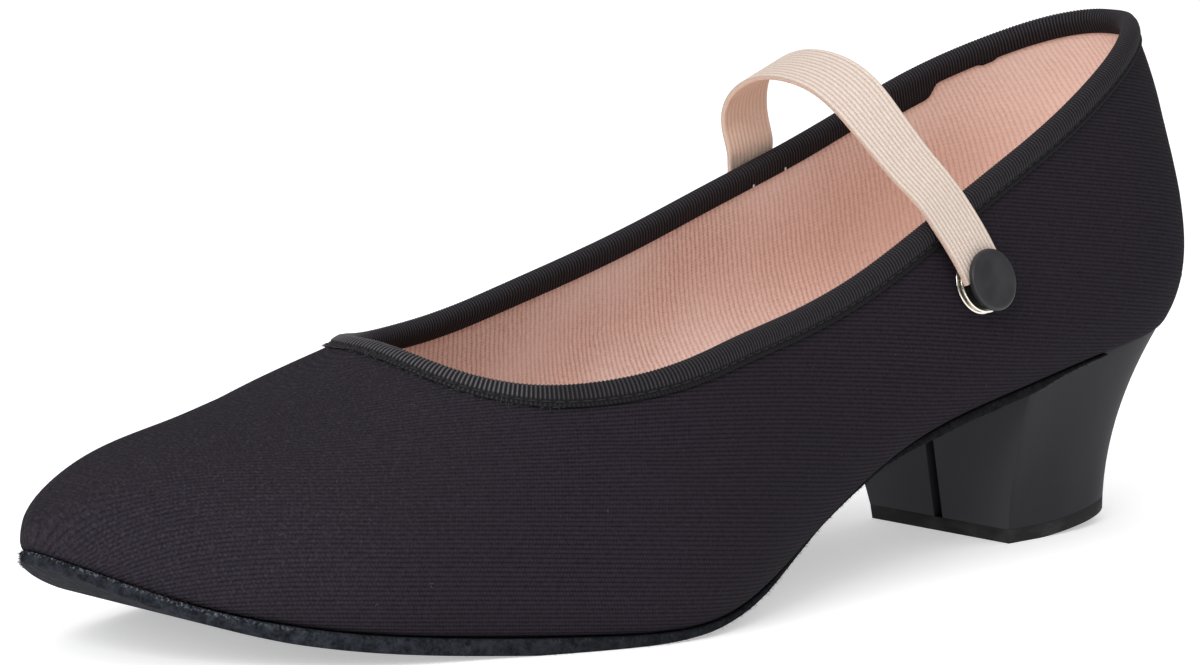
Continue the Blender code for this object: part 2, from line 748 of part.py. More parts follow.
def add_snap(root):
    """Nickel base on the wall and the cap over the strap's end."""
    low = SNAP_BASE_LIFT
    high = SNAP_BASE_LIFT + SNAP_BASE_THICKNESS
    edge = SNAP_BASE_EDGE
    inner_radius = SNAP_BASE_RADIUS - edge
    base = ((inner_radius, low), (SNAP_BASE_RADIUS, low + edge), (inner_radius, low + 2 * edge),
            (SNAP_WAIST_RADIUS, low + 2 * edge), (SNAP_WAIST_RADIUS, high - 2 * edge),
            (inner_radius, high - 2 * edge), (SNAP_BASE_RADIUS, high - edge), (inner_radius, high))
    add_turned("snap_base", base, "nickel", root)
    low = high + 2 * GAP + STRAP_THICKNESS
    high = low + CAP_THICKNESS
    cap = ((CAP_RADIUS - CAP_EDGE, low), (CAP_RADIUS, low + CAP_EDGE), (CAP_RADIUS, high - CAP_EDGE),
           (CAP_RADIUS - CAP_EDGE / 3, high - CAP_EDGE / 3), (CAP_RADIUS - CAP_EDGE, high))
    add_turned("snap_cap", cap, "cap_plastic", root)


def centre_on_floor(root):
    """Moves the whole shoe so that the middle of its outline stands over the origin."""
    pieces = [piece for piece in root.children if not piece.hide_render]
    corners = np.concatenate([[v.co for v in piece.data.vertices] for piece in pieces])
    middle = (corners.min(axis=0) + corners.max(axis=0)) / 2
    root.location = (-middle[0], -middle[1], 0.0)


def main():
    for item in list(bpy.data.objects):
        bpy.data.objects.remove(item, do_unlink=True)
    root = bpy.data.objects.new("shoe", None)
    bpy.context.scene.collection.objects.link(root)
    add_upper(root)
    add_binding(root)
    add_outsole(root)
    add_insole(root)
    add_heel(root)
    add_lift(root)
    add_strap(root)
    add_snap(root)
    centre_on_floor(root)


main()
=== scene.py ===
"""Looks of the left character dance shoe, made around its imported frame.

Lengths in the tables and functions are millimetres in the last's own frame: X from the heel back to the
toe, Y to the outer side, Z up from the floor. to_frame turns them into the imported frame's metres.
A station runs from 0 at the heel back to 1 at the toe tip, and a turn is the same as half a circle.
An angle climbs each section of the last, from 0 at the feather line to a right angle at the ridge.
"""
import math

import bmesh
import bpy
import numpy as np
from mathutils import Matrix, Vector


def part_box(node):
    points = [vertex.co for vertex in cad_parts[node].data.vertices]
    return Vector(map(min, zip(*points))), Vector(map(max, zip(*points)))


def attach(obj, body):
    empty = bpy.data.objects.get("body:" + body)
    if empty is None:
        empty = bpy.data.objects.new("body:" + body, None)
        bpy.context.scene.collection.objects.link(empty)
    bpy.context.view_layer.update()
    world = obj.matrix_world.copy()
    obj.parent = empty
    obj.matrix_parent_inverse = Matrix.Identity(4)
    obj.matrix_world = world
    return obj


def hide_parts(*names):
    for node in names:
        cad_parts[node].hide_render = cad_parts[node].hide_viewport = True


class Table:
    """Rows of numbers with named columns."""

    def __init__(self, names, *rows):
        self.rows = rows
        self.columns = dict(zip(names.split(), np.array(rows, float).T))

    def __getitem__(self, name):
        return self.columns[name]

    def at(self, station, name):
        """Value of a column at a station, straight between the rows."""
        return np.interp(station, self["station"], self[name])


# Units: metres in a millimetre
MILLIMETRE = 0.001

# Driving sizes of the last
LENGTH = 288.0
BALL_WIDTH = 89.0
INSTEP_HEIGHT = 100.0
SEAT_HEIGHT = 43.5

# Sections of the last: width is a share of BALL_WIDTH, shift moves the section to the outer side,
# feather is a share of SEAT_HEIGHT, and ridge is a share of INSTEP_HEIGHT
SECTIONS = Table(
    "station width shift feather ridge",
    (0.00, 0.000, 0.0, 1.000, 1.510),
    (0.03, 0.370, 0.0, 0.985, 1.535),
    (0.08, 0.560, 0.0, 0.955, 1.545),
    (0.16, 0.665, 0.0, 0.900, 1.520),
    (0.26, 0.705, 0.5, 0.790, 1.430),
    (0.38, 0.750, 1.0, 0.608, 1.245),
    (0.50, 0.855, 2.5, 0.280, 0.995),
    (0.58, 0.965, 5.0, 0.108, 0.820),
    (0.62, 1.000, 5.5, 0.063, 0.740),
    (0.70, 0.985, 2.5, 0.058, 0.588),
    (0.78, 0.910, -1.5, 0.090, 0.498),
    (0.86, 0.765, -3.0, 0.145, 0.425),
    (0.93, 0.540, -6.0, 0.240, 0.375),
    (0.98, 0.295, -9.8, 0.375, 0.302),
    (1.00, 0.000, -13.5, 0.450, 0.238),
)

# Fullness of the sections: powers of the ellipse that each section is drawn with
FULLNESS = Table(
    "station side crown",
    (0.00, 1.000, 1.00),
    (0.30, 1.000, 1.00),
    (0.62, 0.975, 0.98),
    (0.80, 0.975, 0.98),
    (1.00, 0.900, 0.84),
)

# Bulge of the wall over the feather line, fading where the last is narrower than the full widths,
# and the lean of the vamp's ridge to the inner side; the norm makes the bulge's curve peak at 1
BULGE = 4.4
BULGE_HEIGHT = 46.0
BULGE_NORM = 27.0 / 4.0
BULGE_STATIONS = (0.50, 0.85)
BULGE_FULL_WIDTHS = (20.0, 36.0)
RIDGE_LEAN = -4.6
RIDGE_LEAN_STATIONS = (0.20, 0.62, 0.80, 1.00)
RIDGE_LEAN_SHARES = (0.0, 1.0, 1.0, 0.0)

# Profile of the back seam: furthest back a little above the seat, tucked in below and leaning in above
BACK_FULL = 25.0
BACK_TUCK = 2.0
BACK_LEAN = 10.0
BACK_LEAN_OVER = 35.0

# Collar line: height above the floor on the outer and the inner side, down to the throat on the ridge
COLLAR = Table(
    "station outer inner",
    (0.00, 107.5, 107.5),
    (0.08, 102.0, 100.1),
    (0.18, 90.0, 90.7),
    (0.30, 75.5, 78.3),
    (0.42, 61.2, 66.5),
    (0.50, 54.8, 59.4),
    (0.57, 51.3, 54.3),
    (0.62, 48.3, 51.3),
    (0.67, 46.0, 49.8),
    (0.705, 45.6, 49.7),
    (0.73, 46.7, 50.6),
    (0.748, 48.9, 51.6),
)
THROAT_STATION = 0.757
COLLAR_TURN_WEIGHT = 1.2

# Walls and gaps: the cloth and the lining share the wall, and the cloth is tucked in above the sole, where
# its rows of points are closer
GAP = 0.3
WALL = 1.8
CLOTH = 1.0
LINING_START = 1.1
LINING_LIFT = 0.6
TUCK_HEIGHT = 1.8
TUCK_DEPTH = 0.55
FOOT_SHARE = 0.06
FOOT_ROWS = 7
INSOLE_THICKNESS = 2.0
INSOLE_CLEARANCES = (0.7, 3.0)
INSOLE_CLEARANCE_STATIONS = (0.92, 1.00)
INSOLE_EDGE = 0.6

# Course of the wall's rows of points from the feather line to the collar
RIB_SWEEP = 1.6
RIB_SWEEP_POWER = 3.0
CORNER_POWER = 6.0
CORNER_SHARE = 0.2

# Cloth ribs: nearly level on the walls, square to the sole's edge around the toe, where they fan out,
# and turning over the vamp's ridge in a round of RIDGE_ROUND; at the toe they fade towards the ridge
RIB_PITCH = 0.86
RIB_SLOPE = 0.16
RIB_AZIMUTH = 43.4
RIB_FAN = 20.0
RIB_FAN_LENGTH = 25.0
RIDGE_ROUND = 14.0
RIB_FADE = 0.7
RIB_FADE_SHARES = (0.5, 0.9)
RIB_FADE_STATIONS = (0.72, 0.86)
# Where the toe's dust specks and painted light grow: stations towards the tip, and how much the climb up the
# vamp adds
DUST_AND_LIGHT_STATIONS = (0.80, 1.05)
DUST_AND_LIGHT_CLIMB = 0.35
LINING_PITCH = 1.48
LINING_LEAN = 0.5

# Threads across the ribs: spacings, and for the insole's weave their number in a metre
CANVAS_THREAD = 0.62
LINING_THREAD = 0.8
ELASTIC_THREAD = 0.42
INSOLE_THREADS = 1100.0

# Soft creases: side 1 or -1 is placed by station and height on that wall, and side 0 by station and Y
CREASES = Table(
    "side station place along across tilt depth",
    (1, 0.655, 36.0, 16.0, 3.2, 24.0, -0.45),
    (1, 0.685, 35.0, 17.0, 3.0, 30.0, 0.30),
    (1, 0.610, 36.0, 13.0, 2.8, 12.0, -0.30),
    (1, 0.470, 40.0, 14.0, 3.5, -58.0, -0.35),
    (1, 0.120, 62.0, 9.0, 3.0, 35.0, -0.30),
    (-1, 0.640, 36.0, 16.0, 3.2, 20.0, -0.45),
    (-1, 0.500, 42.0, 14.0, 3.6, -55.0, -0.40),
    (0, 0.800, 6.0, 12.0, 4.0, 80.0, -0.35),
    (0, 0.830, -10.0, 11.0, 3.6, 96.0, -0.30),
)

# Collar tape: below is the way down from the collar edge, out the height over the wall's face, and rib
# the share of the rib's depth; rows run up the outer leg, and the inner leg goes down without the seam
TAPE_WIDTH = 3.6
TAPE_INNER_WIDTH = 3.2
TAPE_OVER = 1.0
TAPE_RIB_PITCH = 0.8
TAPE_RIB_DEPTH = 0.12
# Stations over which the painted highlight on the tape's crests comes in, towards the throat
TAPE_HIGHLIGHT_STATIONS = (0.69, 0.735)
TAPE_OUTER = Table(
    "below out rib",
    (3.50, 0.15, 0.0),
    (3.60, 0.36, 0.3),
    (3.50, 0.56, 0.6),
    (3.10, 0.62, 0.6),
    (2.75, 0.54, 0.4),
    (2.45, 0.34, 0.2),
    (2.20, 0.58, 0.5),
    (1.85, 0.80, 1.0),
    (1.30, 0.94, 1.0),
    (0.65, 1.00, 1.0),
    (0.00, 1.00, 1.0),
)
TAPE_INNER = Table(
    "below out rib",
    (0.00, 1.00, 1.0),
    (0.80, 0.95, 1.0),
    (1.70, 0.85, 1.0),
    (2.60, 0.72, 0.9),
    (3.05, 0.55, 0.6),
    (3.20, 0.34, 0.3),
    (3.10, 0.15, 0.0),
)
TAPE_ROLL_STEPS = 5
TAPE_SHARP = 180.0
SEAM_BELOW = 2.45
SEAM_OUT = 0.42
STITCH_PITCH = 2.6
STITCH_LENGTH = 2.1
STITCH_RADIUS = 0.17
STITCH_BOW = (-0.12, 0.05, 0.10, 0.05, -0.12)
THREAD_SIDES = 6
THREAD_TAPER = np.array((0.5, 1.0, 1.0, 1.0, 0.5))

# Where the tape's ends overlap inside the inner wall, its lower edge hangs down; two ends of the strap's
# thread show on it
DIPS = Table(
    "station toeward heelward depth",
    (0.168, 9.0, 5.2, 2.6),
    (0.1036, 1.8, 1.8, 0.5),
)
DIP_POWER = 6
TACK_STATIONS = (0.325, 0.294)
TACK_BELOW = 2.5
TACK_OUT = 0.9
TACK_LENGTH = 0.7
TACK_RADIUS = 0.22

# Fibres that fray from the tape's lower edge near the throat
FRAY_COUNT = 260
FRAY_LENGTH = 1.3
FRAY_RADIUS = 0.028
FRAY_STATION = 0.70
FRAY_ROOT = 0.35
FRAY_TIP = 0.4
FRAY_OUT = (0.1, 1.2)
FRAY_SPREAD = 0.5
FRAY_CURL = 0.35
FRAY_SHORTEST = 0.2
FRAY_SHORTNESS = 1.8
FIBRE_SIDES = 3
FIBRE_MIDDLE = 0.8

# Outsole: its edge stands out past the feather line, or is tucked in under it at the waist, where the
# sole is thinnest
SOLE = Table(
    "station edge thickness",
    (0.13, 0.0, 0.2),
    (0.20, 0.0, 0.8),
    (0.235, 0.0, 2.0),
    (0.34, 0.0, 2.0),
    (0.40, -1.2, 1.1),
    (0.47, -1.3, 1.2),
    (0.55, -0.1, 1.5),
    (0.60, 0.3, 1.4),
    (0.66, 0.6, 1.9),
    (0.74, 0.8, 3.1),
    (0.90, 0.7, 3.1),
    (1.00, 0.0, 2.2),
)
SOLE_START = 0.145
SOLE_EDGE = Table(
    "in up",
    (1.20, 1.00),
    (0.35, 1.00),
    (0.08, 0.88),
    (0.00, 0.60),
    (0.04, 0.30),
    (0.22, 0.08),
    (0.60, 0.00),
)
SOLE_FLECK_STATIONS = (0.86, 0.99)
# Stations over which the suede's painted shade at the waist and heel gives way to its blue-grey at the toe,
# and the share of that blue-grey kept on the underside
SOLE_SHADE_STATIONS = (0.45, 0.95)
SOLE_UNDER = 0.85
SOLE_RIM_LEVELS = (0.6, 1.0)
SOLE_FACE_LEVELS = (0.0, 0.3)
SOLE_SHARP = 75.0
NAP_COUNT = 5200
NAP_LENGTH = 0.75
NAP_RADIUS = 0.035
NAP_OUTER_SHARE = 0.6
NAP_EDGE_ROW = 3
NAP_TOE_STATIONS = (0.93, 1.0)
NAP_TOE_TURN = 30.0
NAP_SPREAD = 0.55
NAP_SHORTEST = 0.3
NAP_CURL = 0.25
NAP_ROOT = 0.1
NAP_TIP = 0.3
NAP_RIM = 0.06

# Heel: outlines from the seat down to the floor; sharp is the angle that edges are bevelled from
HEEL_BACK_TOP = 1.9
HEEL_BACK_FOOT = 18.5
HEEL_BACK_POWER = 2.4
BREAST_TOP = 69.0
BREAST_FOOT = 62.0
HEEL_HALF_TOP = 30.0
HEEL_HALF_FOOT = 19.5
HEEL_SIDE_POWER = 1.4
HEEL_ROUND = 2.2
HEEL_END_TOP = 2.6
HEEL_END_FOOT = 4.6
HEEL_TAPER = 0.10
HEEL_RISE = 3.6
HEEL_RISE_START = 0.75
HEEL_RISE_POWER = 1.3
HEEL_SHARP = 40.0
HEEL_BEVEL = 0.3
BEVEL_STEPS = 3
LIFT_THICKNESS = 3.0
LIFT_BEVEL = 0.25
LIFT_GAP = 0.04
SLOT_WIDTH = 2.4
SLOT_DEPTH = 3.0

# Elastic strap: crossings of the collar, its start over the snap's axis, and its arch in a plane that
# leans to the toe; rows of stitches hold its end
STRAP_WIDTH = 12.0
STRAP_THICKNESS = 1.2
STRAP_OUTER_STATION = 0.338
STRAP_INNER_STATION = 0.312
STRAP_LEAN = 26.0
STRAP_SEWN_LENGTH = 14.0
STRAP_START = 2.0
STRAP_CORDS = 12
STRAP_CORD_DEPTH = 0.16
STRAP_OVER_TAPE = 0.7
STRAP_TURN_ROWS = 4
STRAP_SEAMS = (2.0, 9.0)
STRAP_STITCHES = 5
STRAP_STITCH_SPAN = (0.1, 0.9)
STRAP_STITCH_INSET = 0.8
STRAP_STITCH_BOW = (-0.1, 0.06, 0.1, 0.06, -0.1)
STRAP_SHARP = 70.0
STRAP_CORD_POWER = 0.7
ARCH = Table(
    "across up",
    (29.6, 6.3),
    (25.0, 10.6),
    (20.6, 15.4),
    (16.7, 20.0),
    (12.5, 24.5),
    (6.5, 27.8),
    (-0.5, 28.8),
    (-8.0, 28.1),
    (-17.0, 24.9),
    (-25.4, 18.9),
    (-28.6, 14.3),
    (-30.1, 10.0),
    (-31.0, 4.5),
)

# Snap on the outer wall: turned profiles of the socket and the button, as radius and height over the wall
SNAP_STATION = 0.318
SNAP_HEIGHT = 58.2
SNAP_BASE_RADIUS = 6.2
SNAP_BASE_LIFT = 0.5
SNAP_BASE_THICKNESS = 1.7
SNAP_SHARP = 60.0
SOCKET = Table(
    "radius height",
    (0.20, 0.50),
    (5.85, 0.50),
    (6.08, 0.55),
    (6.20, 0.70),
    (6.08, 0.85),
    (5.85, 0.90),
    (4.95, 0.92),
    (4.80, 1.00),
    (4.80, 1.70),
    (4.95, 1.78),
    (5.85, 1.80),
    (6.08, 1.85),
    (6.20, 2.00),
    (6.08, 2.15),
    (5.85, 2.20),
    (0.20, 2.20),
)
BUTTON = Table(
    "radius height",
    (0.20, 4.00),
    (5.60, 4.00),
    (6.08, 4.10),
    (6.28, 4.40),
    (6.30, 4.95),
    (6.22, 5.22),
    (6.02, 5.40),
    (5.75, 5.47),
    (5.30, 5.49),
    (3.50, 5.50),
    (0.20, 5.51),
)

# Lint on the cloth, and the seed of all that is scattered
SEED = 7
LINT_COUNT = 300
LINT_LENGTH = 0.5
LINT_RADIUS = 0.035
LINT_TURNS = (0.25, 2.9)
LINT_CLIMBS = (0.08, 0.8)
LINT_OUTER_SHARE = 0.65
LINT_OFF = 0.12
LINT_BEND = 0.3
LINT_SHORTEST = 0.08
LINT_SHORTNESS = 12
LINT_SIDES = 4

# Mesh resolution, the small steps that slopes and the march down the wall are taken with, a place just short
# of a table's last row, the angle that edges are shaded sharp from, and the way between merged points
WALL_COLUMNS = 150
WALL_ROWS = 54
TAPE_STEPS = 4
SOLE_ROWS = 240
SOLE_ACROSS = 24
HEEL_ROWS = 56
HEEL_LEVELS = 16
HEEL_ROW_POWER = 2.0
HEEL_LEVEL_POWER = 1.5
STRAP_ROWS = 260
CORD_STEPS = 5
SNAP_SIDES = 96
FINE = 400
SMALL = 0.002
MARCH_STEP = 0.25
MARCH_STEPS = 36
LAST_ROW = 1.001
SHARP = 50.0
MERGE = 0.0001

# Stage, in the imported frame's metres: lamps by place, size and power, turned by a direction near upright
FLOOR_HALF = 6.0
FLOOR_GLOW = 0.45
SKY_STRENGTH = 0.35
LAMP_AIM = (0.0, 0.0, 0.05)
LAMP_UP = (0.0, 0.01, 1.0)
LAMPS = {
    "overhead": ((0.0, 0.0, 3.0), 8.0, 105.0),
    "key": ((2.2, 0.9, 1.5), 1.6, 48.0),
}

# Camera, in the last's frame: azimuth turns from the outer side to the toe, focal length is in frame widths
CAMERA_AZIMUTH = 43.41
CAMERA_ELEVATION = 7.60
CAMERA_ROLL = 0.97
CAMERA_DISTANCE = 857.5
CAMERA_TARGET = (161.85, 0.0, 49.85)
CAMERA_FOCAL = 3.671
CAMERA_SHIFT = (0.0, 0.0015)
SENSOR = 36.0

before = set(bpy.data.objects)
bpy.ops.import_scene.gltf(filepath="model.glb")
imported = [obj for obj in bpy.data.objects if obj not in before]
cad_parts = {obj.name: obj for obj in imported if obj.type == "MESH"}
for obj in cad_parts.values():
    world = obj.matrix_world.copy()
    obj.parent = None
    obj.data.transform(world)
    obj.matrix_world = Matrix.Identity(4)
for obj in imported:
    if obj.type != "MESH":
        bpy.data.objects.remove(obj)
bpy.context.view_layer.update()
heel_low, heel_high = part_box("heel")
heel_breast = np.array([heel_high.x, (heel_low.y + heel_high.y) / 2, 0.0])
FRAME_ORIGIN = np.array([BREAST_TOP, 0.0, 0.0]) - heel_breast / MILLIMETRE
chance = np.random.default_rng(SEED)


def spline(knots, values, start_slope=None, end_slope=None):
    """Cubic curve through the values; an end with no slope given is left unbent."""
    knots = np.asarray(knots, float)
    values = np.asarray(values, float)
    count = len(knots)
    gaps = np.diff(knots)
    rises = np.diff(values, axis=0).T / gaps
    matrix = np.zeros((count, count))
    right = np.zeros(values.T.shape)
    for i in range(1, count - 1):
        matrix[i, i - 1:i + 2] = gaps[i], 2 * (gaps[i - 1] + gaps[i]), gaps[i - 1]
        right[..., i] = 3 * (gaps[i] * rises[..., i - 1] + gaps[i - 1] * rises[..., i])
    matrix[0, :2] = (2, 1) if start_slope is None else (1, 0)
    right[..., 0] = 3 * rises[..., 0] if start_slope is None else start_slope
    matrix[-1, -2:] = (1, 2) if end_slope is None else (0, 1)
    right[..., -1] = 3 * rises[..., -1] if end_slope is None else end_slope
    slopes = np.linalg.solve(matrix, right.T)

    def curve(place):
        place = np.asarray(place, float)
        i = np.clip(np.searchsorted(knots, place) - 1, 0, count - 2)
        t = (place - knots[i]) / gaps[i]
        span = gaps[i]
        if values.ndim > 1:
            t = t[..., None]
            span = span[..., None]
        first = (1 + 2 * t) * (1 - t) ** 2 * values[i] + t * (1 - t) ** 2 * span * slopes[i]
        second = t * t * (3 - 2 * t) * values[i + 1] + t * t * (t - 1) * span * slopes[i + 1]
        return first + second

    return curve


def turn_of(station):
    return np.arccos(np.clip(1 - 2 * np.asarray(station, float), -1, 1))


def station_of(turn):
    return (1 - np.cos(turn)) / 2


def unit(vectors):
    return vectors / np.linalg.norm(vectors, axis=-1, keepdims=True)


def lengths_along(points):
    """Length of a line of points up to each of them."""
    return np.append(0, np.cumsum(np.linalg.norm(np.diff(points, axis=0), axis=1)))


def line_at(places, knots, values):
    """Rows of three values at places between their knots."""
    return np.stack([np.interp(places, knots, values[:, k]) for k in range(3)], -1)


def between(first, second, share):
    """Value a share of the way from the first to the second."""
    return first + (second - first) * share


def smooth(value, low, high):
    """Soft step from 0 at low to 1 at high."""
    t = np.clip((value - low) / (high - low), 0, 1)
    return t * t * (3 - 2 * t)


SECTION_TURNS = turn_of(SECTIONS["station"])
half_width = spline(SECTION_TURNS, SECTIONS["width"] * BALL_WIDTH / 2)
shift = spline(SECTION_TURNS, SECTIONS["shift"], start_slope=0)
feather = spline(SECTION_TURNS, SECTIONS["feather"] * SEAT_HEIGHT, 0, 0)
ridge = spline(SECTION_TURNS, SECTIONS["ridge"] * INSTEP_HEIGHT, start_slope=0)


def back_inset(height):
    """How far the back seam lies in front of its furthest point, at a height over the seat."""
    below = BACK_TUCK * np.clip(1 - height / BACK_FULL, 0, None) ** 2
    above = BACK_LEAN * np.clip(height / BACK_FULL - 1, 0, None) ** 2 * (BACK_FULL / BACK_LEAN_OVER) ** 2
    return below + above


def wall_point(turn, angle, side):
    """Point of the upper's outer surface; side is 1 on the outer and -1 on the inner half."""
    station = station_of(turn)
    sine = np.clip(np.sin(angle), 0, 1) ** FULLNESS.at(station, "crown")
    cosine = np.clip(np.cos(angle), 0, 1) ** FULLNESS.at(station, "side")
    climb = (ridge(turn) - feather(turn)) * sine
    z = feather(turn) + climb
    share = np.clip(climb / BULGE_HEIGHT, 0, 1)
    full = np.interp(station, BULGE_STATIONS, BULGE_FULL_WIDTHS)
    bulge = BULGE * BULGE_NORM * share * (1 - share) ** 2 * np.clip(half_width(turn) / full, 0, 1)
    lean = RIDGE_LEAN * np.interp(station, RIDGE_LEAN_STATIONS, RIDGE_LEAN_SHARES)
    y = shift(turn) + lean * (1 - cosine) + side * (half_width(turn) * cosine + bulge)
    inset = back_inset(np.clip(z - SEAT_HEIGHT, 0, None))
    x = inset + station * (LENGTH - inset)
    return np.stack(np.broadcast_arrays(x, y, z), -1)


def wall_normal(turn, angle, side):
    """Outward normal of the upper's outer surface."""
    low = np.clip(angle - SMALL, 0, None)
    high = np.clip(angle + SMALL, None, math.pi / 2)
    early = np.clip(turn - SMALL, 0, None)
    late = np.clip(turn + SMALL, None, math.pi)
    climb = wall_point(turn, high, side) - wall_point(turn, low, side)
    along = wall_point(late, angle, side) - wall_point(early, angle, side)
    return unit(np.cross(climb, along) * np.asarray(side, float)[..., None])


def height_angle(turn, height):
    """Angle at which a section reaches a height above the floor."""
    power = FULLNESS.at(station_of(turn), "crown")
    share = (height - feather(turn)) / (ridge(turn) - feather(turn))
    return np.arcsin(np.clip(share, 0, 1) ** (1 / power))


def evenly(turns, angles, side, count):
    """The same line over the wall at count places, evenly spaced in length."""
    length = lengths_along(wall_point(turns, angles, side))
    places = np.linspace(0, length[-1], count)
    return np.interp(places, length, turns), np.interp(places, length, angles)


def collar_line(side, count):
    """Turns and angles of the collar on one side, from the back seam to the throat, evenly spaced."""
    turns = turn_of(COLLAR["station"])
    heights = COLLAR["outer" if side > 0 else "inner"]
    angles = np.append(height_angle(turns, heights), math.pi / 2)
    turns = np.append(turns, turn_of(THROAT_STATION))
    places = lengths_along(np.stack([turns * COLLAR_TURN_WEIGHT, angles], axis=-1))
    fine = np.linspace(0, places[-1], FINE)
    fine_turns = spline(places, turns, end_slope=0)(fine)
    fine_angles = np.minimum(spline(places, angles, start_slope=0)(fine), math.pi / 2)
    return evenly(fine_turns, fine_angles, side, count)


def column_lines(side, rows, columns):
    """Turns and angles of the columns from the feather line up to the collar on one side.

    Near the toe a column climbs the tip first and then runs back along the vamp.
    """
    collar_turns, collar_angles = collar_line(side, columns + 1)
    turns = np.linspace(0, math.pi, FINE)
    feather_turns = evenly(turns, np.zeros(FINE), side, columns + 1)[0]
    place = np.linspace(0, 1, columns + 1)[:, None]
    power = 1 + RIB_SWEEP * place ** RIB_SWEEP_POWER
    corner = place ** CORNER_POWER
    angle_share = (1 - corner) * (1 - (1 - rows) ** power) + corner * np.clip(rows / CORNER_SHARE, 0, 1)
    late = np.clip((rows - CORNER_SHARE) / (1 - CORNER_SHARE), 0, 1)
    turn_share = (1 - corner) * rows ** power + corner * late
    angles = collar_angles[:, None] * angle_share
    turns = between(feather_turns[:, None], collar_turns[:, None], turn_share)
    return turns, angles


def ring(rows, columns):
    """Turns, angles and sides of all columns, around the shoe from the back seam by way of the toe."""
    halves = zip(column_lines(1, rows, columns), column_lines(-1, rows, columns))
    turns, angles = (np.concatenate([outer, inner[-2:0:-1]]) for outer, inner in halves)
    sides = np.ones(turns.shape)
    sides[columns + 1:] = -1
    return turns, angles, sides


class CollarBand:
    """Places on the wall by their way straight down from the collar, all around the shoe."""

    def __init__(self, columns):
        turns, angles, self.sides = (values[:, 0] for values in ring(np.ones((1, 1)), columns))
        points = wall_point(turns, angles, self.sides)
        along = np.roll(points, -1, axis=0) - np.roll(points, 1, axis=0)
        down = unit(np.cross(wall_normal(turns, angles, self.sides), along)) * MARCH_STEP
        places = [(turns, angles)]
        for _ in range(MARCH_STEPS):
            slopes = []
            for t, a in ((SMALL, 0), (0, SMALL)):
                ahead = wall_point(turns + t, angles + a, self.sides)
                slopes.append(ahead - wall_point(turns - t, angles - a, self.sides))
            step = (np.linalg.pinv(np.stack(slopes, axis=-1)) @ down[:, :, None])[:, :, 0] * 2 * SMALL
            turns = turns + step[:, 0]
            angles = np.minimum(angles + step[:, 1], math.pi / 2)
            places.append((turns, angles))
        self.places = np.array(places)

    def at(self, below):
        """Points and normals at a distance below the collar, one for every column."""
        step = np.broadcast_to(below, len(self.sides)) / MARCH_STEP
        i = np.clip(step.astype(int), 0, MARCH_STEPS - 1)
        pick = np.arange(len(self.sides))
        share = (step - i)[:, None]
        turns, angles = between(self.places[i, :, pick], self.places[i + 1, :, pick], share).T
        return wall_point(turns, angles, self.sides), wall_normal(turns, angles, self.sides)


class Climb:
    """Length of the way up each section from the feather line, and the ribs of the cloth and lining."""

    def __init__(self, side):
        self.turns = np.linspace(0, math.pi, FINE)
        angles = np.linspace(0, math.pi / 2, FINE // 2)
        points = wall_point(self.turns[:, None], angles[None, :], side)
        steps = np.linalg.norm(np.diff(points, axis=1), axis=2)
        self.ways = np.concatenate([np.zeros((FINE, 1)), np.cumsum(steps, axis=1)], axis=1)
        quarter_up = points[:, FINE // 8]
        self.lengths = lengths_along(quarter_up)
        self.wholes = self.ways[:, -1]
        edge = points[:, 0]
        to_tip = lengths_along(edge[::-1])[::-1]
        lean = math.radians(RIB_AZIMUTH)
        level = RIB_SLOPE * (edge[:, 0] * math.sin(lean) + side * edge[:, 1] * math.cos(lean)) - edge[:, 2]
        fan = RIB_FAN * (1 - np.tanh(to_tip / RIB_FAN_LENGTH))
        self.over_ridge = level - level[-1] + RIB_FAN - fan + self.wholes[-1] - self.wholes

    def way(self, turn, angle):
        row = np.clip(turn / math.pi * (FINE - 1), 0, FINE - LAST_ROW)
        place = np.clip(angle / (math.pi / 2) * (FINE // 2 - 1), 0, FINE // 2 - LAST_ROW)
        i = row.astype(int)
        k = place.astype(int)
        low, high = (between(self.ways[r, k], self.ways[r, k + 1], place - k) for r in (i, i + 1))
        return between(low, high, row - i)

    def from_ridge(self, turn, angle):
        return np.interp(turn, self.turns, self.wholes) - self.way(turn, angle)

    def rib(self, turn, angle):
        """Number of ribs to a place from the one over the toe's tip; both walls' ribs meet at the ridge."""
        away = self.from_ridge(turn, angle)
        soft = np.where(away < RIDGE_ROUND, away ** 2 / (2 * RIDGE_ROUND), away - RIDGE_ROUND / 2)
        return (np.interp(turn, self.turns, CLIMBS[1].over_ridge) + soft) / RIB_PITCH

    def around(self, turn, height):
        """Number of the lining's leaning ribs from the back seam to a place."""
        return (np.interp(turn, self.turns, self.lengths) - LINING_LEAN * height) / LINING_PITCH


CLIMBS = {1: Climb(1), -1: Climb(-1)}


def on_sides(sides, measure, *places):
    """Values of a measure that is taken on the outer and on the inner wall by their own tables."""
    return np.where(sides > 0, measure(CLIMBS[1], *places), measure(CLIMBS[-1], *places))


def creased(points, sides):
    """Height of the creases over the smooth wall."""
    total = np.zeros(points.shape[:-1])
    for side, station, place, along, across, tilt, depth in CREASES.rows:
        away = points[..., 0] - station * LENGTH
        up = points[..., 2 if side else 1] - place
        lean = math.radians(tilt)
        first = away * math.cos(lean) + up * math.sin(lean)
        second = up * math.cos(lean) - away * math.sin(lean)
        mark = depth * np.exp(-(first / along) ** 2 - (second / across) ** 2)
        total += np.where(sides == side, mark, 0) if side else mark
    return total


def feather_edge(turns, side, outward):
    """Feather line at the given turns, moved outward in plan."""
    angles = np.zeros(len(turns))
    normals = wall_normal(turns, angles, np.full(len(turns), float(side)))
    normals[:, 2] = 0
    return wall_point(turns, angles, side) + unit(normals) * np.asarray(outward, float).reshape(-1, 1)


def feather_height(x):
    """Height of the feather line at a distance from the heel back."""
    station = np.clip((x - BACK_TUCK) / (LENGTH - BACK_TUCK), 0, 1)
    return feather(turn_of(station))


def sole_depth(station):
    return SOLE.at(station, "thickness")


